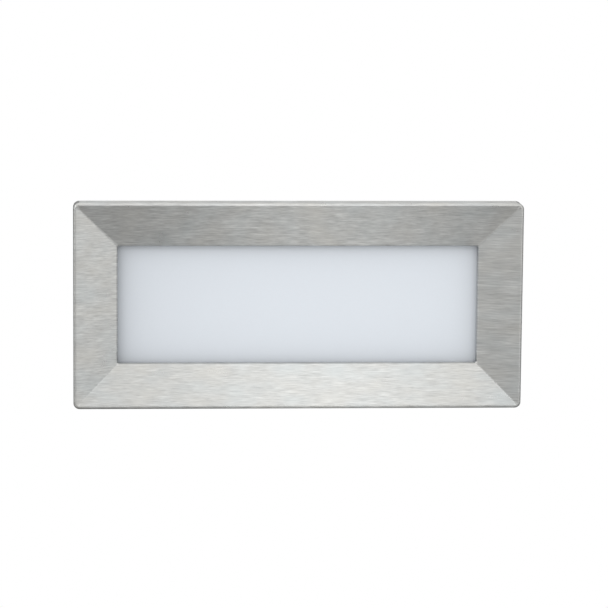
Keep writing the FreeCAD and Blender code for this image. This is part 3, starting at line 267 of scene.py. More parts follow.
def bright_metal(name, color, roughness, streak=4 * MM):
    """Turned, rolled or plated metal: fine tool marks and slow changes of tone."""
    metal = Finish(name, color, roughness, 1.0)
    marks = metal.noise(metal.stretched(streak, 0.15 * MM), 2.0, 0.6)
    tone = metal.noise(metal.stretched(6 * MM, 4 * MM), 2.0)
    metal.shade(metal.spread(marks, 0.25, 0.75, 0.92, 1.05))
    metal.shade(metal.spread(tone, 0.3, 0.7, 0.94, 1.04))
    metal.rough(tone, roughness - 0.05, roughness + 0.07)
    metal.bump(marks, 0.006 * MM, 0.5)
    return metal.done()


def elastomer(name, color, roughness=0.62, cell=0.5 * MM, depth=0.03 * MM):
    """Rubber or foam: dull, finely pitted, with a faint bloom."""
    soft = Finish(name, color, roughness)
    pits = soft.node(
        "ShaderNodeTexVoronoi", {"Vector": soft.stretched(cell), "Scale": 1.0}
    ).outputs["Distance"]
    bloom = soft.noise(soft.stretched(12 * MM), 3.0, 0.6)
    soft.shade(soft.spread(bloom, 0.3, 0.7, 0.85, 1.25))
    soft.rough(bloom, roughness - 0.06, roughness + 0.1)
    soft.bump(pits, depth, 0.6)
    return soft.done()


def circuit_board(name, mask, copper):
    """Solder mask over copper: straight tracks show as a faint relief and a lighter tone."""
    board = Finish(name, mask, 0.3)
    cells = board.node(
        "ShaderNodeTexVoronoi", {"Vector": board.stretched(5 * MM, 2.2 * MM), "Scale": 1.0},
        distance="CHEBYCHEV",
    ).outputs["Distance"]
    tracks = board.spread(cells, 0.30, 0.34)
    grain = board.noise(board.stretched(0.6 * MM), 2.0)
    board.tint(tracks, copper, 0.6)
    board.shade(board.spread(grain, 0.3, 0.7, 0.97, 1.03))
    board.bump(tracks, 0.035 * MM, 0.5)
    return board.done()


def striped(name, color, stripe):
    """Two-coloured lead sleeve: a stripe winds along it."""
    sleeve = Finish(name, color, 0.35)
    x, y, z = sleeve.split(sleeve.place)
    phase = sleeve.math("ADD", sleeve.math("MULTIPLY", x, 260.0), sleeve.math("MULTIPLY", z, 900.0))
    band = sleeve.math("GREATER_THAN", sleeve.math("SINE", phase), 0.2)
    sleeve.tint(band, stripe)
    grain = sleeve.noise(sleeve.stretched(0.6 * MM), 2.0)
    sleeve.bump(grain, 0.01 * MM, 0.5)
    return sleeve.done()


def white_board(name, color):
    """White solder mask with pads and faint tracks."""
    return circuit_board(name, color, tuple(0.88 * c for c in color))


LEAD = {"roughness": 0.35, "depth": 0.008 * MM}
FOAM = {"roughness": 0.85, "cell": 0.9 * MM, "depth": 0.12 * MM}
FINISHES = {
    # slot: maker, colour or the setting that holds it, and what else the maker takes
    "fascia_steel": (brushed_steel, "steel", {"roughness": "steel_roughness"}),
    "opal": (opal, "opal", {}),
    "spring_steel": (bright_metal, (0.58, 0.58, 0.56), {"roughness": 0.25}),
    "stainless_screw": (bright_metal, (0.60, 0.60, 0.59), {"roughness": 0.28}),
    "zinc_screw": (bright_metal, (0.58, 0.60, 0.64), {"roughness": 0.3}),
    "brass": (bright_metal, (0.72, 0.53, 0.22), {"roughness": 0.28}),
    "cast_body": (cast_metal, "casting", {}),
    "ferrite": (cast_metal, (0.035, 0.035, 0.04), {"roughness": 0.6}),
    "seal_rubber": (elastomer, (0.025, 0.025, 0.027), {}),
    "seal_foam": (elastomer, (0.045, 0.045, 0.047), FOAM),
    "gap_pad": (elastomer, (0.30, 0.42, 0.52), {"roughness": 0.6}),
    "phosphor": (elastomer, (0.86, 0.62, 0.10), {"roughness": 0.35, "cell": 0.12 * MM, "depth": 0.01 * MM}),
    "metal_core_board": (white_board, (0.82, 0.82, 0.80), {}),
    "circuit_board": (circuit_board, (0.02, 0.16, 0.05), {"copper": (0.08, 0.30, 0.10)}),
    "lead_red": (moulded, (0.45, 0.02, 0.015), LEAD),
    "lead_black": (moulded, (0.02, 0.02, 0.022), LEAD),
    "lead_brown": (moulded, (0.14, 0.05, 0.02), LEAD),
    "lead_blue": (moulded, (0.02, 0.08, 0.35), LEAD),
    "lead_green_yellow": (striped, (0.05, 0.32, 0.05), {"stripe": (0.80, 0.65, 0.04)}),
    "white_reflector": (moulded, (0.86, 0.86, 0.85), {"roughness": 0.45}),
    "led_frame": (moulded, (0.85, 0.84, 0.80), {"roughness": 0.35, "grain": 0.3 * MM, "depth": 0.006 * MM}),
    "connector_plastic": (moulded, (0.80, 0.78, 0.70), {"roughness": 0.4}),
    "driver_plastic": (moulded, (0.62, 0.62, 0.60), {"roughness": 0.5}),
    "winding_tape": (moulded, (0.75, 0.50, 0.04), {"roughness": 0.3, "grain": 0.8 * MM, "depth": 0.01 * MM}),
    "capacitor_sleeve": (moulded, (0.03, 0.03, 0.045), {"roughness": 0.28}),
    "choke_varnish": (moulded, (0.05, 0.16, 0.09), {"roughness": 0.3, "grain": 0.9 * MM, "depth": 0.15 * MM}),
    "terminal_plastic": (moulded, (0.78, 0.78, 0.73), {"roughness": 0.4}),
    "gland_plastic": (moulded, (0.028, 0.028, 0.03), {"roughness": 0.45}),
    "box_plastic": (moulded, "box", {"roughness": 0.55, "grain": 0.7 * MM, "depth": 0.035 * MM}),
}


def setting_of(value):
    """A value as it is, or the looks setting that it names."""
    return getattr(bpy.context.scene.step_light_looks, value) if isinstance(value, str) else value


def finish(slot):
    """The material of one of the record's slots, made when it is first asked for."""
    name = "finish_" + slot
    found = bpy.data.materials.get(name)
    if not found:
        maker, color, options = FINISHES[slot]
        found = maker(slot, setting_of(color), **{key: setting_of(value) for key, value in options.items()})
        found.name = name
    return found


def node_slot(node):
    return next(s["material_slot"] for s in frame["record"]["subparts"] if s["node"] == node)


# ---------------------------------------------------------------- mesh helpers

def plain_mesh(carrier, name):
    """The carrier's evaluated mesh as an object of its own at the origin; the carrier goes."""
    depsgraph = bpy.context.evaluated_depsgraph_get()
    depsgraph.update()
    mesh = bpy.data.meshes.new_from_object(carrier.evaluated_get(depsgraph), depsgraph=depsgraph)
    mesh.name = name
    bpy.data.objects.remove(carrier)
    return linked(name, mesh)


def linked(name, data):
    """An object that holds the data, in the scene."""
    made = bpy.data.objects.new(name, data)
    bpy.context.scene.collection.objects.link(made)
    return made


def mesh_of(name, work):
    """A mesh from a bmesh, which is freed."""
    mesh = bpy.data.meshes.new(name)
    work.to_mesh(mesh)
    work.free()
    return mesh


def polyline(name, points):
    """A mesh that is one open chain of points."""
    mesh = bpy.data.meshes.new(name)
    mesh.from_pydata(points, [(i, i + 1) for i in range(len(points) - 1)], [])
    return linked(name, mesh)


def geometry_tree(name, sockets):
    """A geometry tree with a Geometry input and output and the named inputs, and its Tree helper."""
    group = bpy.data.node_groups.new(name, "GeometryNodeTree")
    group.interface.new_socket("Geometry", in_out="INPUT", socket_type="NodeSocketGeometry")
    for label, (kind, value) in sockets.items():
        made = group.interface.new_socket(label, in_out="INPUT", socket_type="NodeSocket" + kind)
        if value is not None:
            made.default_value = value
    group.interface.new_socket("Geometry", in_out="OUTPUT", socket_type="NodeSocketGeometry")
    tree = Tree(group)
    entry = tree.node("NodeGroupInput").outputs
    return group, tree, entry


def close_tree(tree, geometry, slot):
    """Ends a tree: instances made real, material set, result handed out."""
    real = tree.node("GeometryNodeRealizeInstances", {0: geometry}).outputs[0]
    painted = tree.node("GeometryNodeSetMaterial", {"Geometry": real, "Material": finish(slot)}).outputs[0]
    tree.node("NodeGroupOutput", {0: painted})


def run_tree(carrier, group, values):
    """Puts the tree on the carrier with its inputs set."""
    modifier = carrier.modifiers.new(group.name, "NODES")
    modifier.node_group = group
    for item in group.interface.items_tree:
        if item.item_type == "SOCKET" and item.in_out == "INPUT" and item.name in values:
            modifier[item.identifier] = values[item.name]
    return modifier


def dress(piece, body, slot, *replaced):
    """Makes a finished piece ride on its body in place of the CAD nodes it stands for; the slot is not used.
    """
    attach(piece, body)
    if replaced:
        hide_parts(*replaced)
    return piece


# ---------------------------------------------------------------- fascia

def fascia_section(sizes):
    """Closed section of the pressed sheet as (inset from the rim's outer face, y, corner radius).

    It runs from the skirt's rear edge round the rim, over the face, round the lip and back inside.
    """
    slope = sizes.slope
    across = slope - math.pi / 2
    turn = math.pi / 2 + slope
    rim = (sizes.rim_bend, FASCIA_LOW.y + sizes.rim_bend)
    normal = (math.cos(across), math.sin(across))
    rim_end = (rim[0] + sizes.rim_bend * normal[0], rim[1] + sizes.rim_bend * normal[1])
    lip_x = sizes.band - sizes.lip_bend
    along = (-math.sin(across), math.cos(across))
    run = (lip_x + sizes.lip_bend * normal[0] - rim_end[0]) / along[0]
    lip_start = (rim_end[0] + run * along[0], rim_end[1] + run * along[1])
    lip = (lip_x, lip_start[1] - sizes.lip_bend * normal[1])
    rear = sizes.lip_rear

    def bend(centre, radius, start, end):
        count = sizes.bend_steps
        angles = [start + (end - start) * i / count for i in range(count + 1)]
        return [(centre[0] + radius * math.cos(a), centre[1] + radius * math.sin(a)) for a in angles]

    def corner(inset):
        concentric = sizes.rim_corner - inset
        near_lip = max(0.0, inset - (sizes.band - 3 * sizes.lip_bend)) / (3 * sizes.lip_bend)
        fold = sizes.fold + (sizes.window_corner - sizes.fold) * min(1.0, near_lip)
        return max(concentric, fold)

    outside = [(0.0, 0.0), (0.0, -sizes.hem), (0.0, rim[1] + sizes.hem)]
    outside += bend(rim, sizes.rim_bend, -math.pi, across)
    share = sizes.hem / run
    corner_edge = (sizes.rim_corner - rim_end[0]) / (lip_start[0] - rim_end[0])
    for part in (share, corner_edge, corner_edge + share, 1 - share):
        outside.append(tuple(a + (b - a) * part for a, b in zip(rim_end, lip_start)))
    outside += bend(lip, sizes.lip_bend, across, 0.0)
    outside += [(sizes.band, lip[1] + sizes.hem), (sizes.band, rear)]
    inside = [(sizes.band - sizes.sheet, rear), (sizes.band - sizes.sheet, lip[1] + sizes.hem)]
    inside += bend(lip, sizes.lip_bend - sizes.sheet, 0.0, across)
    inside += bend(rim, sizes.rim_bend - sizes.sheet, across, -math.pi)
    inside += [(sizes.sheet, rim[1] + sizes.hem), (sizes.sheet, 0.0)]
    return [(x, y, corner(x)) for x, y in outside + inside]


def fascia_tree():
    """Turns each point of a section into a rounded rectangle and joins neighbouring ones into a sheet."""
    group, tree, entry = geometry_tree("Pressed Frame", {
        "Width": ("Float", 0.23),
        "Height": ("Float", 0.106),
        "Arc Steps": ("Int", 6),
        "Section Points": ("Int", 10),
    })
    section = entry["Geometry"]
    steps = entry["Arc Steps"]
    ring = tree.math("MULTIPLY", tree.math("ADD", steps, 1.0), 4.0)
    columns = tree.math("ADD", ring, 1.0)
    rows = tree.math("ADD", entry["Section Points"], 1.0)
    grid = tree.node("GeometryNodeMeshGrid", {"Vertices X": columns, "Vertices Y": rows}).outputs["Mesh"]
    index = tree.node("GeometryNodeInputIndex").outputs[0]
    column = tree.math("FLOOR", tree.math("DIVIDE", tree.math("ADD", index, 0.5), rows))
    row = tree.math("MODULO", tree.math("SUBTRACT", index, tree.math("MULTIPLY", column, rows)),
                    entry["Section Points"])
    place = tree.node("GeometryNodeInputPosition").outputs[0]
    sample = tree.node("GeometryNodeSampleIndex", data_type="FLOAT_VECTOR")
    tree.feed(sample.inputs["Geometry"], section)
    tree.feed(sample.inputs["Value"], place)
    tree.feed(sample.inputs["Index"], row)
    inset, depth, radius = tree.split(sample.outputs["Value"])
    around = tree.math("MODULO", column, ring)
    per_corner = tree.math("ADD", steps, 1.0)
    quarter = tree.math("FLOOR", tree.math("DIVIDE", tree.math("ADD", around, 0.5), per_corner))
    step = tree.math("SUBTRACT", around, tree.math("MULTIPLY", quarter, per_corner))
    angle = tree.math(
        "MULTIPLY", tree.math("ADD", quarter, tree.math("DIVIDE", step, steps)), math.pi / 2
    )
    middle = tree.math("MULTIPLY", tree.math("ADD", quarter, 0.5), math.pi / 2)

    def coordinate(function, size):
        side = tree.math("SIGN", tree.math(function, middle))
        reach = tree.math("SUBTRACT", tree.math("MULTIPLY", size, 0.5), tree.math("ADD", inset, radius))
        arc = tree.math("MULTIPLY", radius, tree.math(function, angle))
        return tree.math("ADD", tree.math("MULTIPLY", side, reach), arc)

    placed = tree.combine(coordinate("COSINE", entry["Width"]), depth, coordinate("SINE", entry["Height"]))
    sheet = tree.node("GeometryNodeSetPosition", {"Geometry": grid, "Position": placed}).outputs[0]
    sewn = tree.node("GeometryNodeMergeByDistance", {"Geometry": sheet, "Distance": 1e-6}).outputs[0]
    smooth = tree.node("GeometryNodeSetShadeSmooth", {"Geometry": sewn, "Shade Smooth": True}).outputs[0]
    close_tree(tree, smooth, "fascia_steel")
    return group


def outward(mesh):
    """Doubles merged and normals pointing out."""
    work = bmesh.new()
    work.from_mesh(mesh)
    bmesh.ops.remove_doubles(work, verts=work.verts, dist=1e-7)
    bmesh.ops.recalc_face_normals(work, faces=work.faces)
    work.to_mesh(mesh)
    work.free()


def cut_out(piece, cutter, name):
    """The piece less the cutter, as a plain mesh; the cutter goes."""
    modifier = piece.modifiers.new("cut", "BOOLEAN")
    modifier.operation = "DIFFERENCE"
    modifier.solver = "EXACT"
    modifier.object = cutter
    made = plain_mesh(piece, name)
    bpy.data.objects.remove(cutter)
    return made


def cut_weeps(piece, sizes):
    """Cuts the two drain slots into the rear edge of the lower skirt."""
    cutters = bmesh.new()
    for x in (-sizes.weep_pitch / 2, sizes.weep_pitch / 2):
        centre = Matrix.Translation((x, 0.0, FASCIA_LOW.z + sizes.sheet / 2))
        scale = Matrix.Diagonal((sizes.weep_width, 2 * sizes.weep_height, 2 * sizes.sheet, 1.0))
        bmesh.ops.create_cube(cutters, size=1.0, matrix=centre @ scale)
    cutter = linked("weep_cutters", mesh_of("weep_cutters", cutters))
    return cut_out(piece, cutter, piece.name)


# ---------------------------------------------------------------- edges, screws and clips

FLAT_ANGLE = math.radians(0.6)    # facets that meet flatter than this are one face
EDGE_ANGLE = math.radians(35)     # edges sharper than this are rounded
SHARP_ANGLE = math.radians(40)    # edges sharper than this keep a crease in the shading
FACE_WEIGHT = 100                 # large faces alone set the normals, so that flats look flat
THREAD_DEPTH = 0.54               # share of the pitch
THREAD_ROWS = 6                   # rows of faces to a turn
SHANK_START = 0.02 * MM           # inside the head
CROSS_REACH = 0.62                # shares of the head's radius
CROSS_HALF_WIDTH = 0.13
CROSS_TAPER = 0.55                # bottom of the cross to its mouth
PAN_CROSS_DEPTH = 0.6             # share of a pan head's height
FLAT_CROSS_DEPTH = 0.45           # share of a countersunk screw's shank radius
PAN_FLAT = 0.62                   # pan head: flat top and round shoulder, shares of the radius
PAN_ROUND = 0.36
PAN_SHOULDER = 0.62               # its shoulder, rim and small edge, shares of the height
PAN_RIM = 0.3
PAN_EDGE = 0.07
PAN_STEPS = 6
SCREW_ROWS = (
    # node, columns, shank radius, head radius, head height, pitch, side that the head faces
    ("diffuser_screws", 5, 1.25 * MM, 2.3 * MM, 1.7 * MM, 0.45 * MM, 0.0),
    ("board_screws", 3, 1.5 * MM, 2.8 * MM, 2.0 * MM, 0.5 * MM, 0.0),
    ("rear_cover_screws", 3, 1.5 * MM, 2.8 * MM, 2.0 * MM, 0.5 * MM, math.pi),
)
FIXING_RADIUS = 2.0 * MM          # the two countersunk screws
FIXING_PITCH = 0.7 * MM
FIXING_EDGE = (0.15 * MM, 0.12 * MM)    # bevel of the head's edge: across and along
FLANGE_SHEET = 2.5 * MM           # front to rear of the lamp's flange, where the clips hook
NOSE_INSET = 1.4 * MM             # clip's nose below the flange's edge
PAD_DIP = 0.4 * MM                # clip's dip behind the flange
NOSE_BACK = 0.6 * MM              # nose behind the flange
TIP_BACK = 0.06 * MM              # tip before the clip's rear
TIP_FLARE = 1.0 * MM              # tip above the nose


def node_body(node):
    return next(body for body, nodes in frame["record"]["behaviour"]["bodies"].items() if node in nodes)


def softened(node, width, steps=2):
    """Copy of a CAD node whose sharp edges are rounded to that width, with flats kept flat."""
    piece = frame["nodes"][node].copy()
    piece.data = piece.data.copy()
    piece.name = "soft_" + node
    bpy.context.scene.collection.objects.link(piece)
    work = bmesh.new()
    work.from_mesh(piece.data)
    bmesh.ops.remove_doubles(work, verts=work.verts, dist=1e-6)
    bmesh.ops.dissolve_limit(work, angle_limit=FLAT_ANGLE, verts=work.verts, edges=work.edges)
    work.to_mesh(piece.data)
    work.free()
    piece.data.shade_smooth()
    bevel = piece.modifiers.new("edges", "BEVEL")
    bevel.width = width
    bevel.segments = steps
    bevel.limit_method = "ANGLE"
    bevel.angle_limit = EDGE_ANGLE
    flats = piece.modifiers.new("flats", "WEIGHTED_NORMAL")
    flats.weight = FACE_WEIGHT
    return plain_mesh(piece, "soft_" + node)


def join_rings(work, rings):
    """Faces between neighbouring rings of vertices; a ring of one repeated vertex closes the shape."""
    for near, far in zip(rings, rings[1:]):
        for i in range(len(near)):
            after = (i + 1) % len(near)
            corners = [near[i], near[after], far[after], far[i]]
            work.faces.new(list(dict.fromkeys(corners)))


def turned(profile, steps):
    """Closed lathe mesh about Y from (radius, y) points that start and end on the axis."""
    work = bmesh.new()
    rings = []
    for radius, y in profile:
        if radius <= 0:
            rings.append([work.verts.new((0.0, y, 0.0))] * steps)
            continue
        angles = [2 * math.pi * i / steps for i in range(steps)]
        rings.append([work.verts.new((radius * math.cos(a), y, radius * math.sin(a))) for a in angles])
    join_rings(work, rings)
    return work


def threaded_shank(radius, pitch, start, end, steps):
    """Shank along Y with a real helical thread that runs out at both ends."""
    rows = int((end - start) / pitch * THREAD_ROWS)
    depth = THREAD_DEPTH * pitch
    work = bmesh.new()
    rings = [[work.verts.new((0.0, start, 0.0))] * steps]
    for row in range(rows + 1):
        y = start + (end - start) * row / rows
        fade = min(1.0, (end - y) / radius, (y - start) / pitch)
        ring = []
        for i in range(steps):
            phase = (y / pitch + i / steps) % 1.0
            tooth = 1 - abs(2 * phase - 1)
            reach = radius - depth * (1 - tooth * fade)
            angle = 2 * math.pi * i / steps
            ring.append(work.verts.new((reach * math.cos(angle), y, reach * math.sin(angle))))
        rings.append(ring)
    rings.append([work.verts.new((0.0, end, 0.0))] * steps)
    join_rings(work, rings)
    return work


def object_of(name, work):
    bmesh.ops.recalc_face_normals(work, faces=work.faces)
    mesh = mesh_of(name, work)
    mesh.shade_smooth()
    return linked(name, mesh)


def cross_cutter(radius, top, depth):
    """Tapered cross that is sunk into a head whose top is at y = top."""
    work = bmesh.new()
    for turn in (0, math.pi / 2):
        spin = Matrix.Rotation(turn, 4, "Y")
        reach, half = CROSS_REACH * radius, CROSS_HALF_WIDTH * radius
        made = bmesh.ops.create_cube(work, size=2.0)["verts"]
        for vertex in made:
            deep = vertex.co.y > 0
            taper = CROSS_TAPER if deep else 1.0
            y = top + depth if deep else top - depth
            vertex.co = spin @ Vector((vertex.co.x * reach * taper, y, vertex.co.z * half))
    return object_of("cross_cutter", work)


def screw_template(name, radius, length, pitch, head, top, sizes):
    """Screw along Y with its head's bearing plane at y = 0, a cross recess and a helical thread."""
    screw = object_of(name, turned(head, sizes.screw_steps))
    sunk = PAN_CROSS_DEPTH * abs(top) if top else FLAT_CROSS_DEPTH * radius
    screw = cut_out(screw, cross_cutter(max(r for r, y in head), top, sunk), name)
    shank = threaded_shank(radius, pitch, SHANK_START, length, sizes.screw_steps)
    shank.from_mesh(screw.data)
    shank.to_mesh(screw.data)
    shank.free()
    screw.data.set_sharp_from_angle(angle=SHARP_ANGLE)
    return screw


def pan_head(radius, height):
    """Profile of a pan head: flat top, round shoulder, straight rim with small edges."""
    edge = PAN_EDGE * height
    angles = [math.pi / 2 * i / PAN_STEPS for i in range(PAN_STEPS + 1)]
    shoulder = [
        (radius * (PAN_FLAT + PAN_ROUND * math.sin(a)), -height + PAN_SHOULDER * height * (1 - math.cos(a)))
        for a in angles
    ]
    rim = [(radius, -PAN_RIM * height), (radius, -edge), (radius - edge, 0.0)]
    return [(0.0, -height), *shoulder, *rim, (0.0, 0.0)]


def screw_rows_tree(slot):
    """Sets copies of one screw on a grid in the XZ plane, each turned by its own angle."""
    group, tree, entry = geometry_tree("Screw Rows", {
        "Columns": ("Int", 2),
        "Rows": ("Int", 2),
        "Span X": ("Float", 0.1),
        "Span Z": ("Float", 0.05),
        "Middle": ("Vector", (0.0, 0.0, 0.0)),
        "Facing": ("Float", 0.0),
        "Seed": ("Int", 4),
    })
    grid = tree.node("GeometryNodeMeshGrid", {
        "Size X": entry["Span X"], "Size Y": entry["Span Z"],
        "Vertices X": entry["Columns"], "Vertices Y": entry["Rows"],
    }).outputs["Mesh"]
    x, z, _ = tree.split(tree.node("GeometryNodeInputPosition").outputs[0])
    place = tree.vector("ADD", tree.combine(x, 0.0, z), entry["Middle"])
    upright = tree.node("GeometryNodeSetPosition", {"Geometry": grid, "Position": place}).outputs[0]
    turn = tree.node("FunctionNodeRandomValue", {"Seed": entry["Seed"]}, data_type="FLOAT")
    turn.inputs[2].default_value = -math.pi
    turn.inputs[3].default_value = math.pi
    rotation = tree.combine(0.0, turn.outputs[1], entry["Facing"])
    points = tree.node("GeometryNodeMeshToPoints", {"Mesh": upright}).outputs[0]
    made = tree.node("GeometryNodeInstanceOnPoints", {
        "Points": points, "Instance": entry["Geometry"], "Rotation": rotation,
    }).outputs[0]
    close_tree(tree, made, slot)
    return group


def strip_tree():
    """Sweeps a flat strip along a bent path, rounds its bends and sets it on both sides."""
    group, tree, entry = geometry_tree("Spring Strips", {
        "Width": ("Float", 0.012),
        "Sheet": ("Float", 0.0005),
        "Bend": ("Float", 0.0005),
        "Pitch": ("Float", 0.12),
    })
    path = tree.node("GeometryNodeMeshToCurve", {"Mesh": entry["Geometry"]}).outputs[0]
    bends = {"Curve": path, "Radius": entry["Bend"]}
    round_path = tree.node("GeometryNodeFilletCurve", bends, mode="POLY")
    round_path.inputs["Count"].default_value = 6
    section = tree.node("GeometryNodeCurvePrimitiveQuadrilateral", {
        "Width": entry["Width"], "Height": entry["Sheet"],
    }).outputs[0]
    strip = tree.node("GeometryNodeCurveToMesh", {
        "Curve": round_path.outputs[0], "Profile Curve": section, "Fill Caps": True,
    }).outputs[0]
    parts = []
    for side in (-1.0, 1.0):
        for turn in (0.0, math.pi):
            shift = tree.combine(tree.math("MULTIPLY", entry["Pitch"], side / 2), 0.0, 0.0)
            placed = tree.node("GeometryNodeTransform", {
                "Geometry": strip, "Translation": shift, "Rotation": (0.0, turn, 0.0),
            }).outputs[0]
            parts.append(placed)
    joined = tree.node("GeometryNodeJoinGeometry")
    for part in parts:
        tree.tree.links.new(part, joined.inputs[0])
    close_tree(tree, joined.outputs[0], "spring_steel")
    return group


# ---------------------------------------------------------------- settings

def length(name, description, default, precision=4):
    """A length that a user can change, in metres."""
    return bpy.props.FloatProperty(
        name=name, description=description, subtype="DISTANCE", unit="LENGTH", default=default,
        precision=precision,
    )


def color(name, description, default):
    """A colour that a user can change."""
    return bpy.props.FloatVectorProperty(
        name=name, description=description, subtype="COLOR", size=3, default=default, min=0.0, max=1.0,
    )


class StepLightLooks(bpy.types.PropertyGroup):
    """Colours and finishes that a user would change."""

    steel: color("Steel", "Colour of the brushed sheet", (0.60, 0.605, 0.59))
    steel_roughness: bpy.props.FloatProperty(
        name="Steel Roughness", description="How far the brushed sheet spreads a reflection",
        subtype="FACTOR", default=0.30, min=0.05, max=1.0,
    )
    opal: color("Opal", "Colour of the pane", (0.80, 0.845, 0.90))
    casting: color("Casting", "Colour of the coated castings", (0.16, 0.165, 0.17))
    box: color("Recess Box", "Colour of the moulded recess box", (0.060, 0.060, 0.064))


class StepLightFascia(bpy.types.PropertyGroup):
    """Sizes of the pressed fascia. Its overall size comes from the frame."""

    slope: bpy.props.FloatProperty(
        name="Slope", description="How far each face falls back towards the window",
        subtype="ANGLE", default=math.radians(17.0), min=0.0, max=1.0,
    )
    band: length("Band", "Rim to window, seen from the front", 22.7 * MM)
    sheet: length("Sheet", "Thickness of the sheet", 1.0 * MM)
    rim_bend: length("Rim Bend", "Outer radius where a face turns into the skirt", 1.25 * MM)
    rim_corner: length("Rim Corner", "Outer radius of the four corners", 3.2 * MM)
    lip_bend: length("Lip Bend", "Outer radius where a face turns into the lip", 1.2 * MM)
    lip_rear: length("Lip Rear", "Where the lip's raw edge lies, along Y", -2.68 * MM)
    window_corner: length("Window Corner", "Radius of the window's corners", 1.0 * MM)
    fold: length("Fold", "Radius of the fold where two faces meet", 0.45 * MM, precision=5)
    hem: length(
        "Hem", "Width of the strip that keeps a flat's shading flat beside a bend", 0.15 * MM, precision=5,
    )
    bend_steps: bpy.props.IntProperty(
        name="Bend Steps", description="Faces along each bend", default=10, min=2,
    )
    corner_steps: bpy.props.IntProperty(
        name="Corner Steps", description="Faces round each corner", default=14, min=2,
    )
    weep_width: length("Weep Width", "Width of each drain slot", 9.0 * MM)
    weep_height: length("Weep Height", "Depth of each drain slot from the rear edge", 2.0 * MM)
    weep_pitch: length("Weep Pitch", "Distance between the drain slots", 60.0 * MM)


class StepLightDetails(bpy.types.PropertyGroup):
    """Rounded edges, screws and clips. Their places come from the frame."""

    casting_edge: length("Casting Edge", "Rounding of the castings' edges", 0.35 * MM, precision=5)
    moulding_edge: length("Moulding Edge", "Rounding of the mouldings' edges", 0.45 * MM, precision=5)
    foam_edge: length("Foam Edge", "Rounding of the foam ring's edges", 0.7 * MM, precision=5)
    screw_steps: bpy.props.IntProperty(
        name="Screw Steps", description="Faces round a screw", default=28, min=8,
    )
    clip_width: length("Clip Width", "Width of each strip spring", 12.0 * MM)
    clip_sheet: length("Clip Sheet", "Thickness of each strip spring", 0.5 * MM, precision=5)
    clip_bend: length("Clip Bend", "Radius of the strips' bends", 0.5 * MM, precision=5)


class StepLightStage(bpy.types.PropertyGroup):
    """Camera, lamps and floor."""

    distance: length("Distance", "Camera to the middle of the fascia", 1.6)
    elevation: bpy.props.FloatProperty(
        name="Elevation", description="Camera above the light's middle",
        subtype="ANGLE", default=math.radians(8.37),
    )
    azimuth: bpy.props.FloatProperty(
        name="Azimuth", description="Camera to the left of the light's axis",
        subtype="ANGLE", default=math.radians(3.76),
    )
    roll: bpy.props.FloatProperty(
        name="Roll", description="Camera's tilt about its own axis",
        subtype="ANGLE", default=math.radians(0.47),
    )
    lens: bpy.props.FloatProperty(
        name="Lens", description="Focal length", subtype="DISTANCE_CAMERA", default=184.14,
    )
    floor_drop: length("Floor Drop", "Floor below the light's middle", 0.42)
    key: bpy.props.FloatProperty(
        name="Key", description="Power of the soft lamp on the upper left", unit="POWER", default=5.0,
    )
    world: bpy.props.FloatProperty(
        name="World", description="Strength of the even light from all round", default=0.75,
    )


# ---------------------------------------------------------------- operators

class STEPLIGHT_OT_fascia(bpy.types.Operator):
    """Models the pressed fascia as a fine sheet with round bends and crisp folds"""

    bl_idname = "steplight.fascia"
    bl_label = "Fascia"

    def execute(self, context):
        sizes = context.scene.step_light_fascia
        section = fascia_section(sizes)
        carrier = polyline("fascia_section", section)
        run_tree(carrier, fascia_tree(), {
            "Width": FASCIA_HIGH.x - FASCIA_LOW.x,
            "Height": FASCIA_HIGH.z - FASCIA_LOW.z,
            "Arc Steps": sizes.corner_steps,
            "Section Points": len(section),
        })
        sheet = plain_mesh(carrier, "fascia_sheet")
        outward(sheet.data)
        sheet = cut_weeps(sheet, sizes)
        sheet.data.shade_smooth()
        weighted = sheet.modifiers.new("weighted", "WEIGHTED_NORMAL")
        weighted.weight = FACE_WEIGHT
        weighted.keep_sharp = True
        sheet = plain_mesh(sheet, "fascia_sheet")
        dress(sheet, "fascia", "fascia_steel", "fascia")
        return {"FINISHED"}


class STEPLIGHT_OT_nodes(bpy.types.Operator):
    """Gives every carried-over CAD node the finish of its slot"""

    bl_idname = "steplight.nodes"
    bl_label = "CAD Nodes"

    def execute(self, context):
        for name, node in frame["nodes"].items():
            node.data.materials.clear()
            node.data.materials.append(finish(node_slot(name)))
        return {"FINISHED"}


class STEPLIGHT_OT_edges(bpy.types.Operator):
    """Rounds the edges of the castings, the mouldings, the foam ring and the pane"""

    bl_idname = "steplight.edges"
    bl_label = "Rounded Edges"

    def execute(self, context):
        sizes = context.scene.step_light_details
        widths = {node: sizes.casting_edge for node in ("lamp_body", "rear_cover")}
        mouldings = ("recess_box", "entry_plugs", "entry_grommet", "gland_nut", "gland_body",
                     "breather_vent")
        widths.update({node: sizes.moulding_edge for node in mouldings})
        widths["wall_seal"] = sizes.foam_edge
        widths["diffuser"] = sizes.casting_edge
        for node, width in widths.items():
            dress(softened(node, width), node_body(node), node_slot(node), node)
        return {"FINISHED"}


class STEPLIGHT_OT_screws(bpy.types.Operator):
    """Models the pane's, the board's and the cover's screws with recess and thread"""

    bl_idname = "steplight.screws"
    bl_label = "Screw Rows"

    def execute(self, context):
        sizes = context.scene.step_light_details
        for node, columns, radius, head_radius, head_height, pitch, facing in SCREW_ROWS:
            low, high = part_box(node)
            length = high.y - low.y - head_height
            seat = low.y + head_height if not facing else high.y - head_height
            head = pan_head(head_radius, head_height)
            screw = screw_template(node + "_one", radius, length, pitch, head, -head_height, sizes)
            run_tree(screw, screw_rows_tree(node_slot(node)), {
                "Columns": columns, "Rows": 2, "Facing": facing,
                "Span X": high.x - low.x - 2 * head_radius, "Span Z": high.z - low.z - 2 * head_radius,
                "Middle": Vector(((low.x + high.x) / 2, seat, (low.z + high.z) / 2)),
            })
            dress(plain_mesh(screw, "turned_" + node), node_body(node), node_slot(node), node)
        return {"FINISHED"}


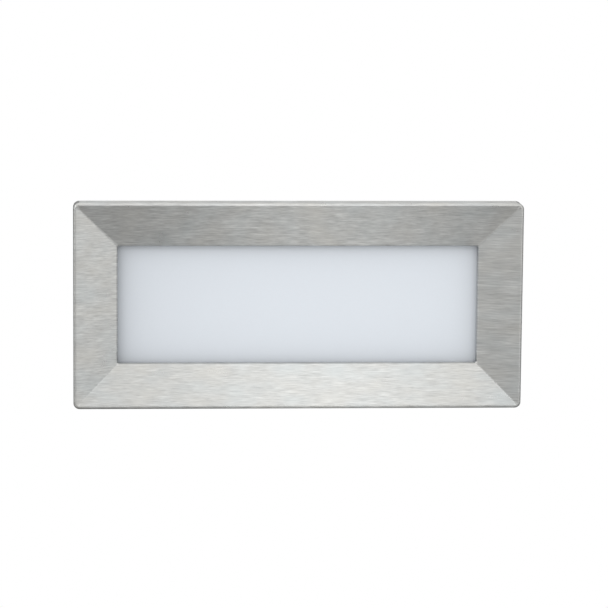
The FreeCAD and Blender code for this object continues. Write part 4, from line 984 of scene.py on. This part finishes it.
class STEPLIGHT_OT_fixings(bpy.types.Operator):
    """Models the two captive countersunk screws with recess and thread"""

    bl_idname = "steplight.fixings"
    bl_label = "Fixing Screws"

    def execute(self, context):
        sizes = context.scene.step_light_details
        for node in ("fixing_screw_left", "fixing_screw_right"):
            low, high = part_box(node)
            head_radius = (high.x - low.x) / 2
            sink = head_radius - FIXING_RADIUS
            across, along = FIXING_EDGE
            head = [
                (0.0, 0.0), (head_radius - across, 0.0), (head_radius, along),
                (FIXING_RADIUS, sink), (0.0, sink),
            ]
            screw = screw_template("turned_" + node, FIXING_RADIUS, high.y - low.y, FIXING_PITCH, head,
                                   0.0, sizes)
            screw.data.transform(Matrix.Translation(((low.x + high.x) / 2, low.y, (low.z + high.z) / 2)))
            screw.data.materials.append(finish(node_slot(node)))
            dress(screw, node_body(node), node_slot(node), node)
        return {"FINISHED"}


class STEPLIGHT_OT_clips(bpy.types.Operator):
    """Models the four strip springs with round bends"""

    bl_idname = "steplight.clips"
    bl_label = "Fascia Clips"

    def execute(self, context):
        sizes = context.scene.step_light_details
        low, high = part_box("fascia_clips")
        flange_low, flange_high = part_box("lamp_body")
        sheet = sizes.clip_sheet
        pad_z = high.z - sheet / 2
        front = flange_low.y
        rear = front + FLANGE_SHEET
        nose_z = flange_high.z - NOSE_INSET + sheet / 2
        path = (
            (0.0, low.y, pad_z), (0.0, front, pad_z), (0.0, rear - sheet / 2, pad_z - PAD_DIP),
            (0.0, rear + NOSE_BACK, nose_z), (0.0, high.y - TIP_BACK, nose_z + TIP_FLARE),
        )
        carrier = polyline("clip_path", path)
        run_tree(carrier, strip_tree(), {
            "Width": sizes.clip_width, "Sheet": sheet, "Bend": sizes.clip_bend,
            "Pitch": high.x - low.x - sizes.clip_width,
        })
        clips = plain_mesh(carrier, "strip_springs")
        clips.data.shade_smooth()
        clips.data.set_sharp_from_angle(angle=SHARP_ANGLE)
        dress(clips, node_body("fascia_clips"), "spring_steel", "fascia_clips")
        return {"FINISHED"}


class STEPLIGHT_OT_stage(bpy.types.Operator):
    """Sets the white studio, its soft lamps and the camera of the photograph"""

    bl_idname = "steplight.stage"
    bl_label = "Stage"

    def execute(self, context):
        stage = context.scene.step_light_stage
        white_world(context.scene, stage.world)
        pale_floor(stage)
        light_tent(stage)
        soft_lamp("key_lamp", KEY_PLACE, KEY_SIZE, stage.key)
        place_camera(context.scene, stage)
        context.scene.view_settings.view_transform = "Standard"
        return {"FINISHED"}


KEY_PLACE = (-1.4, -0.9, 0.85)
KEY_SIZE = (0.9, 0.6)
SENSOR = 36.0                  # width of the film, in millimetres
PICTURE = 608                  # width of the photograph, in pixels
CAMERA_SHIFT = (6.6, -0.8)     # in its pixels


def seen_directly(tree):
    """1 for camera, glossy and transmission rays, so that all of them find the white background."""
    path = tree.node("ShaderNodeLightPath").outputs
    mirrored = tree.math("MAXIMUM", path["Is Glossy Ray"], path["Is Transmission Ray"])
    return tree.math("MAXIMUM", path["Is Camera Ray"], mirrored)


def white_world(scene, strength):
    world = bpy.data.worlds.new("studio")
    world.use_nodes = True
    world.node_tree.nodes.clear()
    tree = Tree(world.node_tree)
    lit = tree.node("ShaderNodeBackground", {"Color": WHITE, "Strength": strength})
    white = tree.node("ShaderNodeBackground", {"Color": WHITE, "Strength": 1.0})
    mix = tree.node("ShaderNodeMixShader", {0: seen_directly(tree), 1: lit, 2: white})
    tree.node("ShaderNodeOutputWorld", {"Surface": mix})
    scene.world = world


FLOOR_RADIUS = 4.0
FLOOR_FILL = 0.36           # what the floor's paint lacks to white under the studio light
FLOOR_FADE = (0.75, 1.0)    # distances from the middle over which the floor turns plain white


def bare_material(name):
    """A material without nodes, and its Tree helper."""
    material = bpy.data.materials.new(name)
    material.use_nodes = True
    material.node_tree.nodes.clear()
    return material, Tree(material.node_tree)


def pale_floor(stage):
    """Round white floor under the light: it keeps the light's shadow and fades into the background."""
    work = bmesh.new()
    bmesh.ops.create_circle(work, cap_ends=True, segments=96, radius=FLOOR_RADIUS,
                            matrix=Matrix.Translation((0.0, 0.0, -stage.floor_drop)))
    material, tree = bare_material("pale_floor")
    paint = tree.node("ShaderNodeBsdfDiffuse", {"Color": (0.8, 0.8, 0.8, 1.0)})
    fill = tree.node("ShaderNodeEmission", {"Color": WHITE, "Strength": FLOOR_FILL})
    shaded = tree.node("ShaderNodeAddShader", {0: paint, 1: fill})
    glow = tree.node("ShaderNodeEmission", {"Color": WHITE, "Strength": 1.0})
    x, y, _ = tree.split(tree.node("ShaderNodeTexCoord").outputs["Object"])
    reach = tree.vector("LENGTH", tree.combine(x, y, 0.0))
    near, far = FLOOR_FADE
    faded = tree.math("DIVIDE", tree.math("SUBTRACT", reach, near), far - near, clamp=True)
    floor_seen = tree.node("ShaderNodeMixShader", {0: faded, 1: shaded, 2: glow})
    mix = tree.node("ShaderNodeMixShader", {0: seen_directly(tree), 1: paint, 2: floor_seen})
    tree.node("ShaderNodeOutputMaterial", {"Surface": mix})
    stage_object("floor", work, material)


TENT_RADIUS = 2.2
TENT_BASE = 0.30
TENT_PATCHES = (
    # azimuth and elevation seen from the light, half width and half height, all in degrees; radiance
    (0, 36, 55, 28, 0.62),     # upper front of the tent
    (4.5, 26, 6.5, 16, 0.62),  # soft box above the camera
    (5.5, 26, 3, 16, 0.66),    # its brighter middle
    (38, -2, 15, 25, 1.16),    # reflector on the right
    (-32, -2, 15, 25, 0.475),  # reflector on the left
    (0, 90, 400, 35, 0.75),    # ceiling
    (180, 42, 70, 26, 0.70),   # upper rear
    (-180, 42, 70, 26, 0.70),
)
TENT_BELT = (0.90, -14, 18)    # dark belt beside and behind the light: depth, elevation, half height
BELT_FADE = (2.0, 0.8)         # how the belt comes in with y, from beside the light to behind it
TABLE_RADIUS = 2.1
TABLE_RISE = 0.02              # above the floor
TABLE_BASE = 0.10
TABLE_FRONT = (-0.60, 0.42, 0.405)    # y of the lit part, its half depth and its radiance
TABLE_GLOW = (0.067, 0.075, 0.58)     # x of the lit part's middle, its half width and its radiance


def glow_material(name, build):
    """Emission whose strength comes from a function of the tree and the Object coordinates."""
    material, tree = bare_material(name)
    strength = build(tree, tree.node("ShaderNodeTexCoord").outputs["Object"])
    glow = tree.node("ShaderNodeEmission", {"Color": WHITE, "Strength": strength})
    tree.node("ShaderNodeOutputMaterial", {"Surface": glow})
    return material


def bump_of(tree, *terms):
    """Bell curve over pairs of (distance from the middle, half width)."""
    parts = [tree.math("POWER", tree.math("ABSOLUTE", tree.math("DIVIDE", *term)), 2.0) for term in terms]
    total = parts[0] if len(parts) == 1 else tree.math("ADD", *parts)
    return tree.math("EXPONENT", tree.math("MULTIPLY", total, -math.log(2.0)))


def tent_glow(tree, place):
    x, y, z = tree.split(tree.vector("NORMALIZE", place))
    azimuth = tree.math("ARCTAN2", x, tree.math("MULTIPLY", y, -1.0))
    elevation = tree.math("ARCSINE", z)
    total = TENT_BASE
    for across, up, half_width, half_height, radiance in TENT_PATCHES:
        bell = bump_of(
            tree,
            (tree.math("SUBTRACT", azimuth, math.radians(across)), math.radians(half_width)),
            (tree.math("SUBTRACT", elevation, math.radians(up)), math.radians(half_height)),
        )
        total = tree.math("ADD", total, tree.math("MULTIPLY", bell, radiance))
    depth, up, half_height = TENT_BELT
    belt = bump_of(tree, (tree.math("SUBTRACT", elevation, math.radians(up)), math.radians(half_height)))
    slope, start = BELT_FADE
    behind = tree.math("ADD", tree.math("MULTIPLY", y, slope), start, clamp=True)
    kept = tree.math("SUBTRACT", 1.0, tree.math("MULTIPLY", tree.math("MULTIPLY", belt, behind), depth))
    return tree.math("MULTIPLY", total, kept)


def table_glow(tree, place):
    x, y, z = tree.split(place)
    middle, half_width, glow = TABLE_GLOW
    front, half_depth, radiance = TABLE_FRONT
    bell = bump_of(tree, (tree.math("SUBTRACT", x, middle), half_width))
    lit = tree.math("ADD", radiance, tree.math("MULTIPLY", bell, glow))
    reach = bump_of(tree, (tree.math("SUBTRACT", y, front), half_depth))
    return tree.math("ADD", TABLE_BASE, tree.math("MULTIPLY", reach, lit))


def stage_object(name, work, material, hidden=()):
    """A stage object from a bmesh, hidden from the named kinds of ray."""
    made = linked(name, mesh_of(name, work))
    made.data.materials.append(material)
    for ray in hidden:
        setattr(made, "visible_" + ray, False)


def light_tent(stage):
    """The tent that lights it from all round, and the table under it that only reflections find.

    The camera sees neither.
    """
    work = bmesh.new()
    bmesh.ops.create_uvsphere(work, u_segments=48, v_segments=32, radius=TENT_RADIUS)
    under_floor = [v for v in work.verts if v.co.z < -stage.floor_drop]
    bmesh.ops.delete(work, geom=under_floor, context="VERTS")
    stage_object("tent", work, glow_material("tent_cloth", tent_glow), ("camera", "transmission"))

    work = bmesh.new()
    height = Matrix.Translation((0.0, 0.0, TABLE_RISE - stage.floor_drop))
    bmesh.ops.create_circle(work, cap_ends=True, segments=64, radius=TABLE_RADIUS, matrix=height)
    hidden = ("camera", "diffuse", "transmission", "volume_scatter", "shadow")
    stage_object("table", work, glow_material("table_top", table_glow), hidden)


def soft_lamp(name, place, size, power):
    lamp = bpy.data.lights.new(name, "AREA")
    lamp.shape = "RECTANGLE"
    lamp.size, lamp.size_y = size
    lamp.energy = power
    made = linked(name, lamp)
    made.location = place
    made.rotation_euler = (-Vector(place)).to_track_quat("-Z", "Y").to_euler()


def place_camera(scene, stage):
    """Camera left of and above the light's axis; the shift puts the light where the photograph has it."""
    flat = math.cos(stage.elevation)
    place = Vector((
        -math.sin(stage.azimuth) * flat, -math.cos(stage.azimuth) * flat, math.sin(stage.elevation)
    )) * stage.distance
    data = bpy.data.cameras.new("photo_camera")
    data.lens = stage.lens
    data.sensor_width = SENSOR
    data.shift_x, data.shift_y = (shift / PICTURE for shift in CAMERA_SHIFT)
    camera = linked("photo_camera", data)
    aim = (-place).to_track_quat("-Z", "Y").to_matrix().to_4x4()
    camera.matrix_world = Matrix.Translation(place) @ aim @ Matrix.Rotation(stage.roll, 4, "Z")
    scene.camera = camera


class STEPLIGHT_PT_panel(bpy.types.Panel):
    """Lists the pieces in the order in which they are made"""

    bl_idname = "STEPLIGHT_PT_panel"
    bl_label = "Step Light"
    bl_space_type = "VIEW_3D"
    bl_region_type = "UI"
    bl_category = "Step Light"

    def draw(self, context):
        for operator in OPERATORS:
            self.layout.operator(operator.bl_idname)
        for group in SETTINGS:
            settings = getattr(context.scene, group)
            box = self.layout.box()
            for name in settings.bl_rna.properties.keys():
                if name not in ("rna_type", "name"):
                    box.prop(settings, name)


OPERATORS = (
    STEPLIGHT_OT_nodes,
    STEPLIGHT_OT_fascia,
    STEPLIGHT_OT_edges,
    STEPLIGHT_OT_screws,
    STEPLIGHT_OT_fixings,
    STEPLIGHT_OT_clips,
    STEPLIGHT_OT_stage,
)
SETTINGS = {
    "step_light_looks": StepLightLooks,
    "step_light_fascia": StepLightFascia,
    "step_light_details": StepLightDetails,
    "step_light_stage": StepLightStage,
}


def register():
    for group in (*SETTINGS.values(), *OPERATORS, STEPLIGHT_PT_panel):
        bpy.utils.register_class(group)
    for name, group in SETTINGS.items():
        setattr(bpy.types.Scene, name, bpy.props.PointerProperty(type=group))


def unregister():
    for name in SETTINGS:
        delattr(bpy.types.Scene, name)
    for group in (STEPLIGHT_PT_panel, *reversed(OPERATORS), *SETTINGS.values()):
        bpy.utils.unregister_class(group)


def main():
    register()
    for operator in OPERATORS:
        module, name = operator.bl_idname.split(".")
        getattr(getattr(bpy.ops, module), name)()


if __name__ == "__main__":
    main()
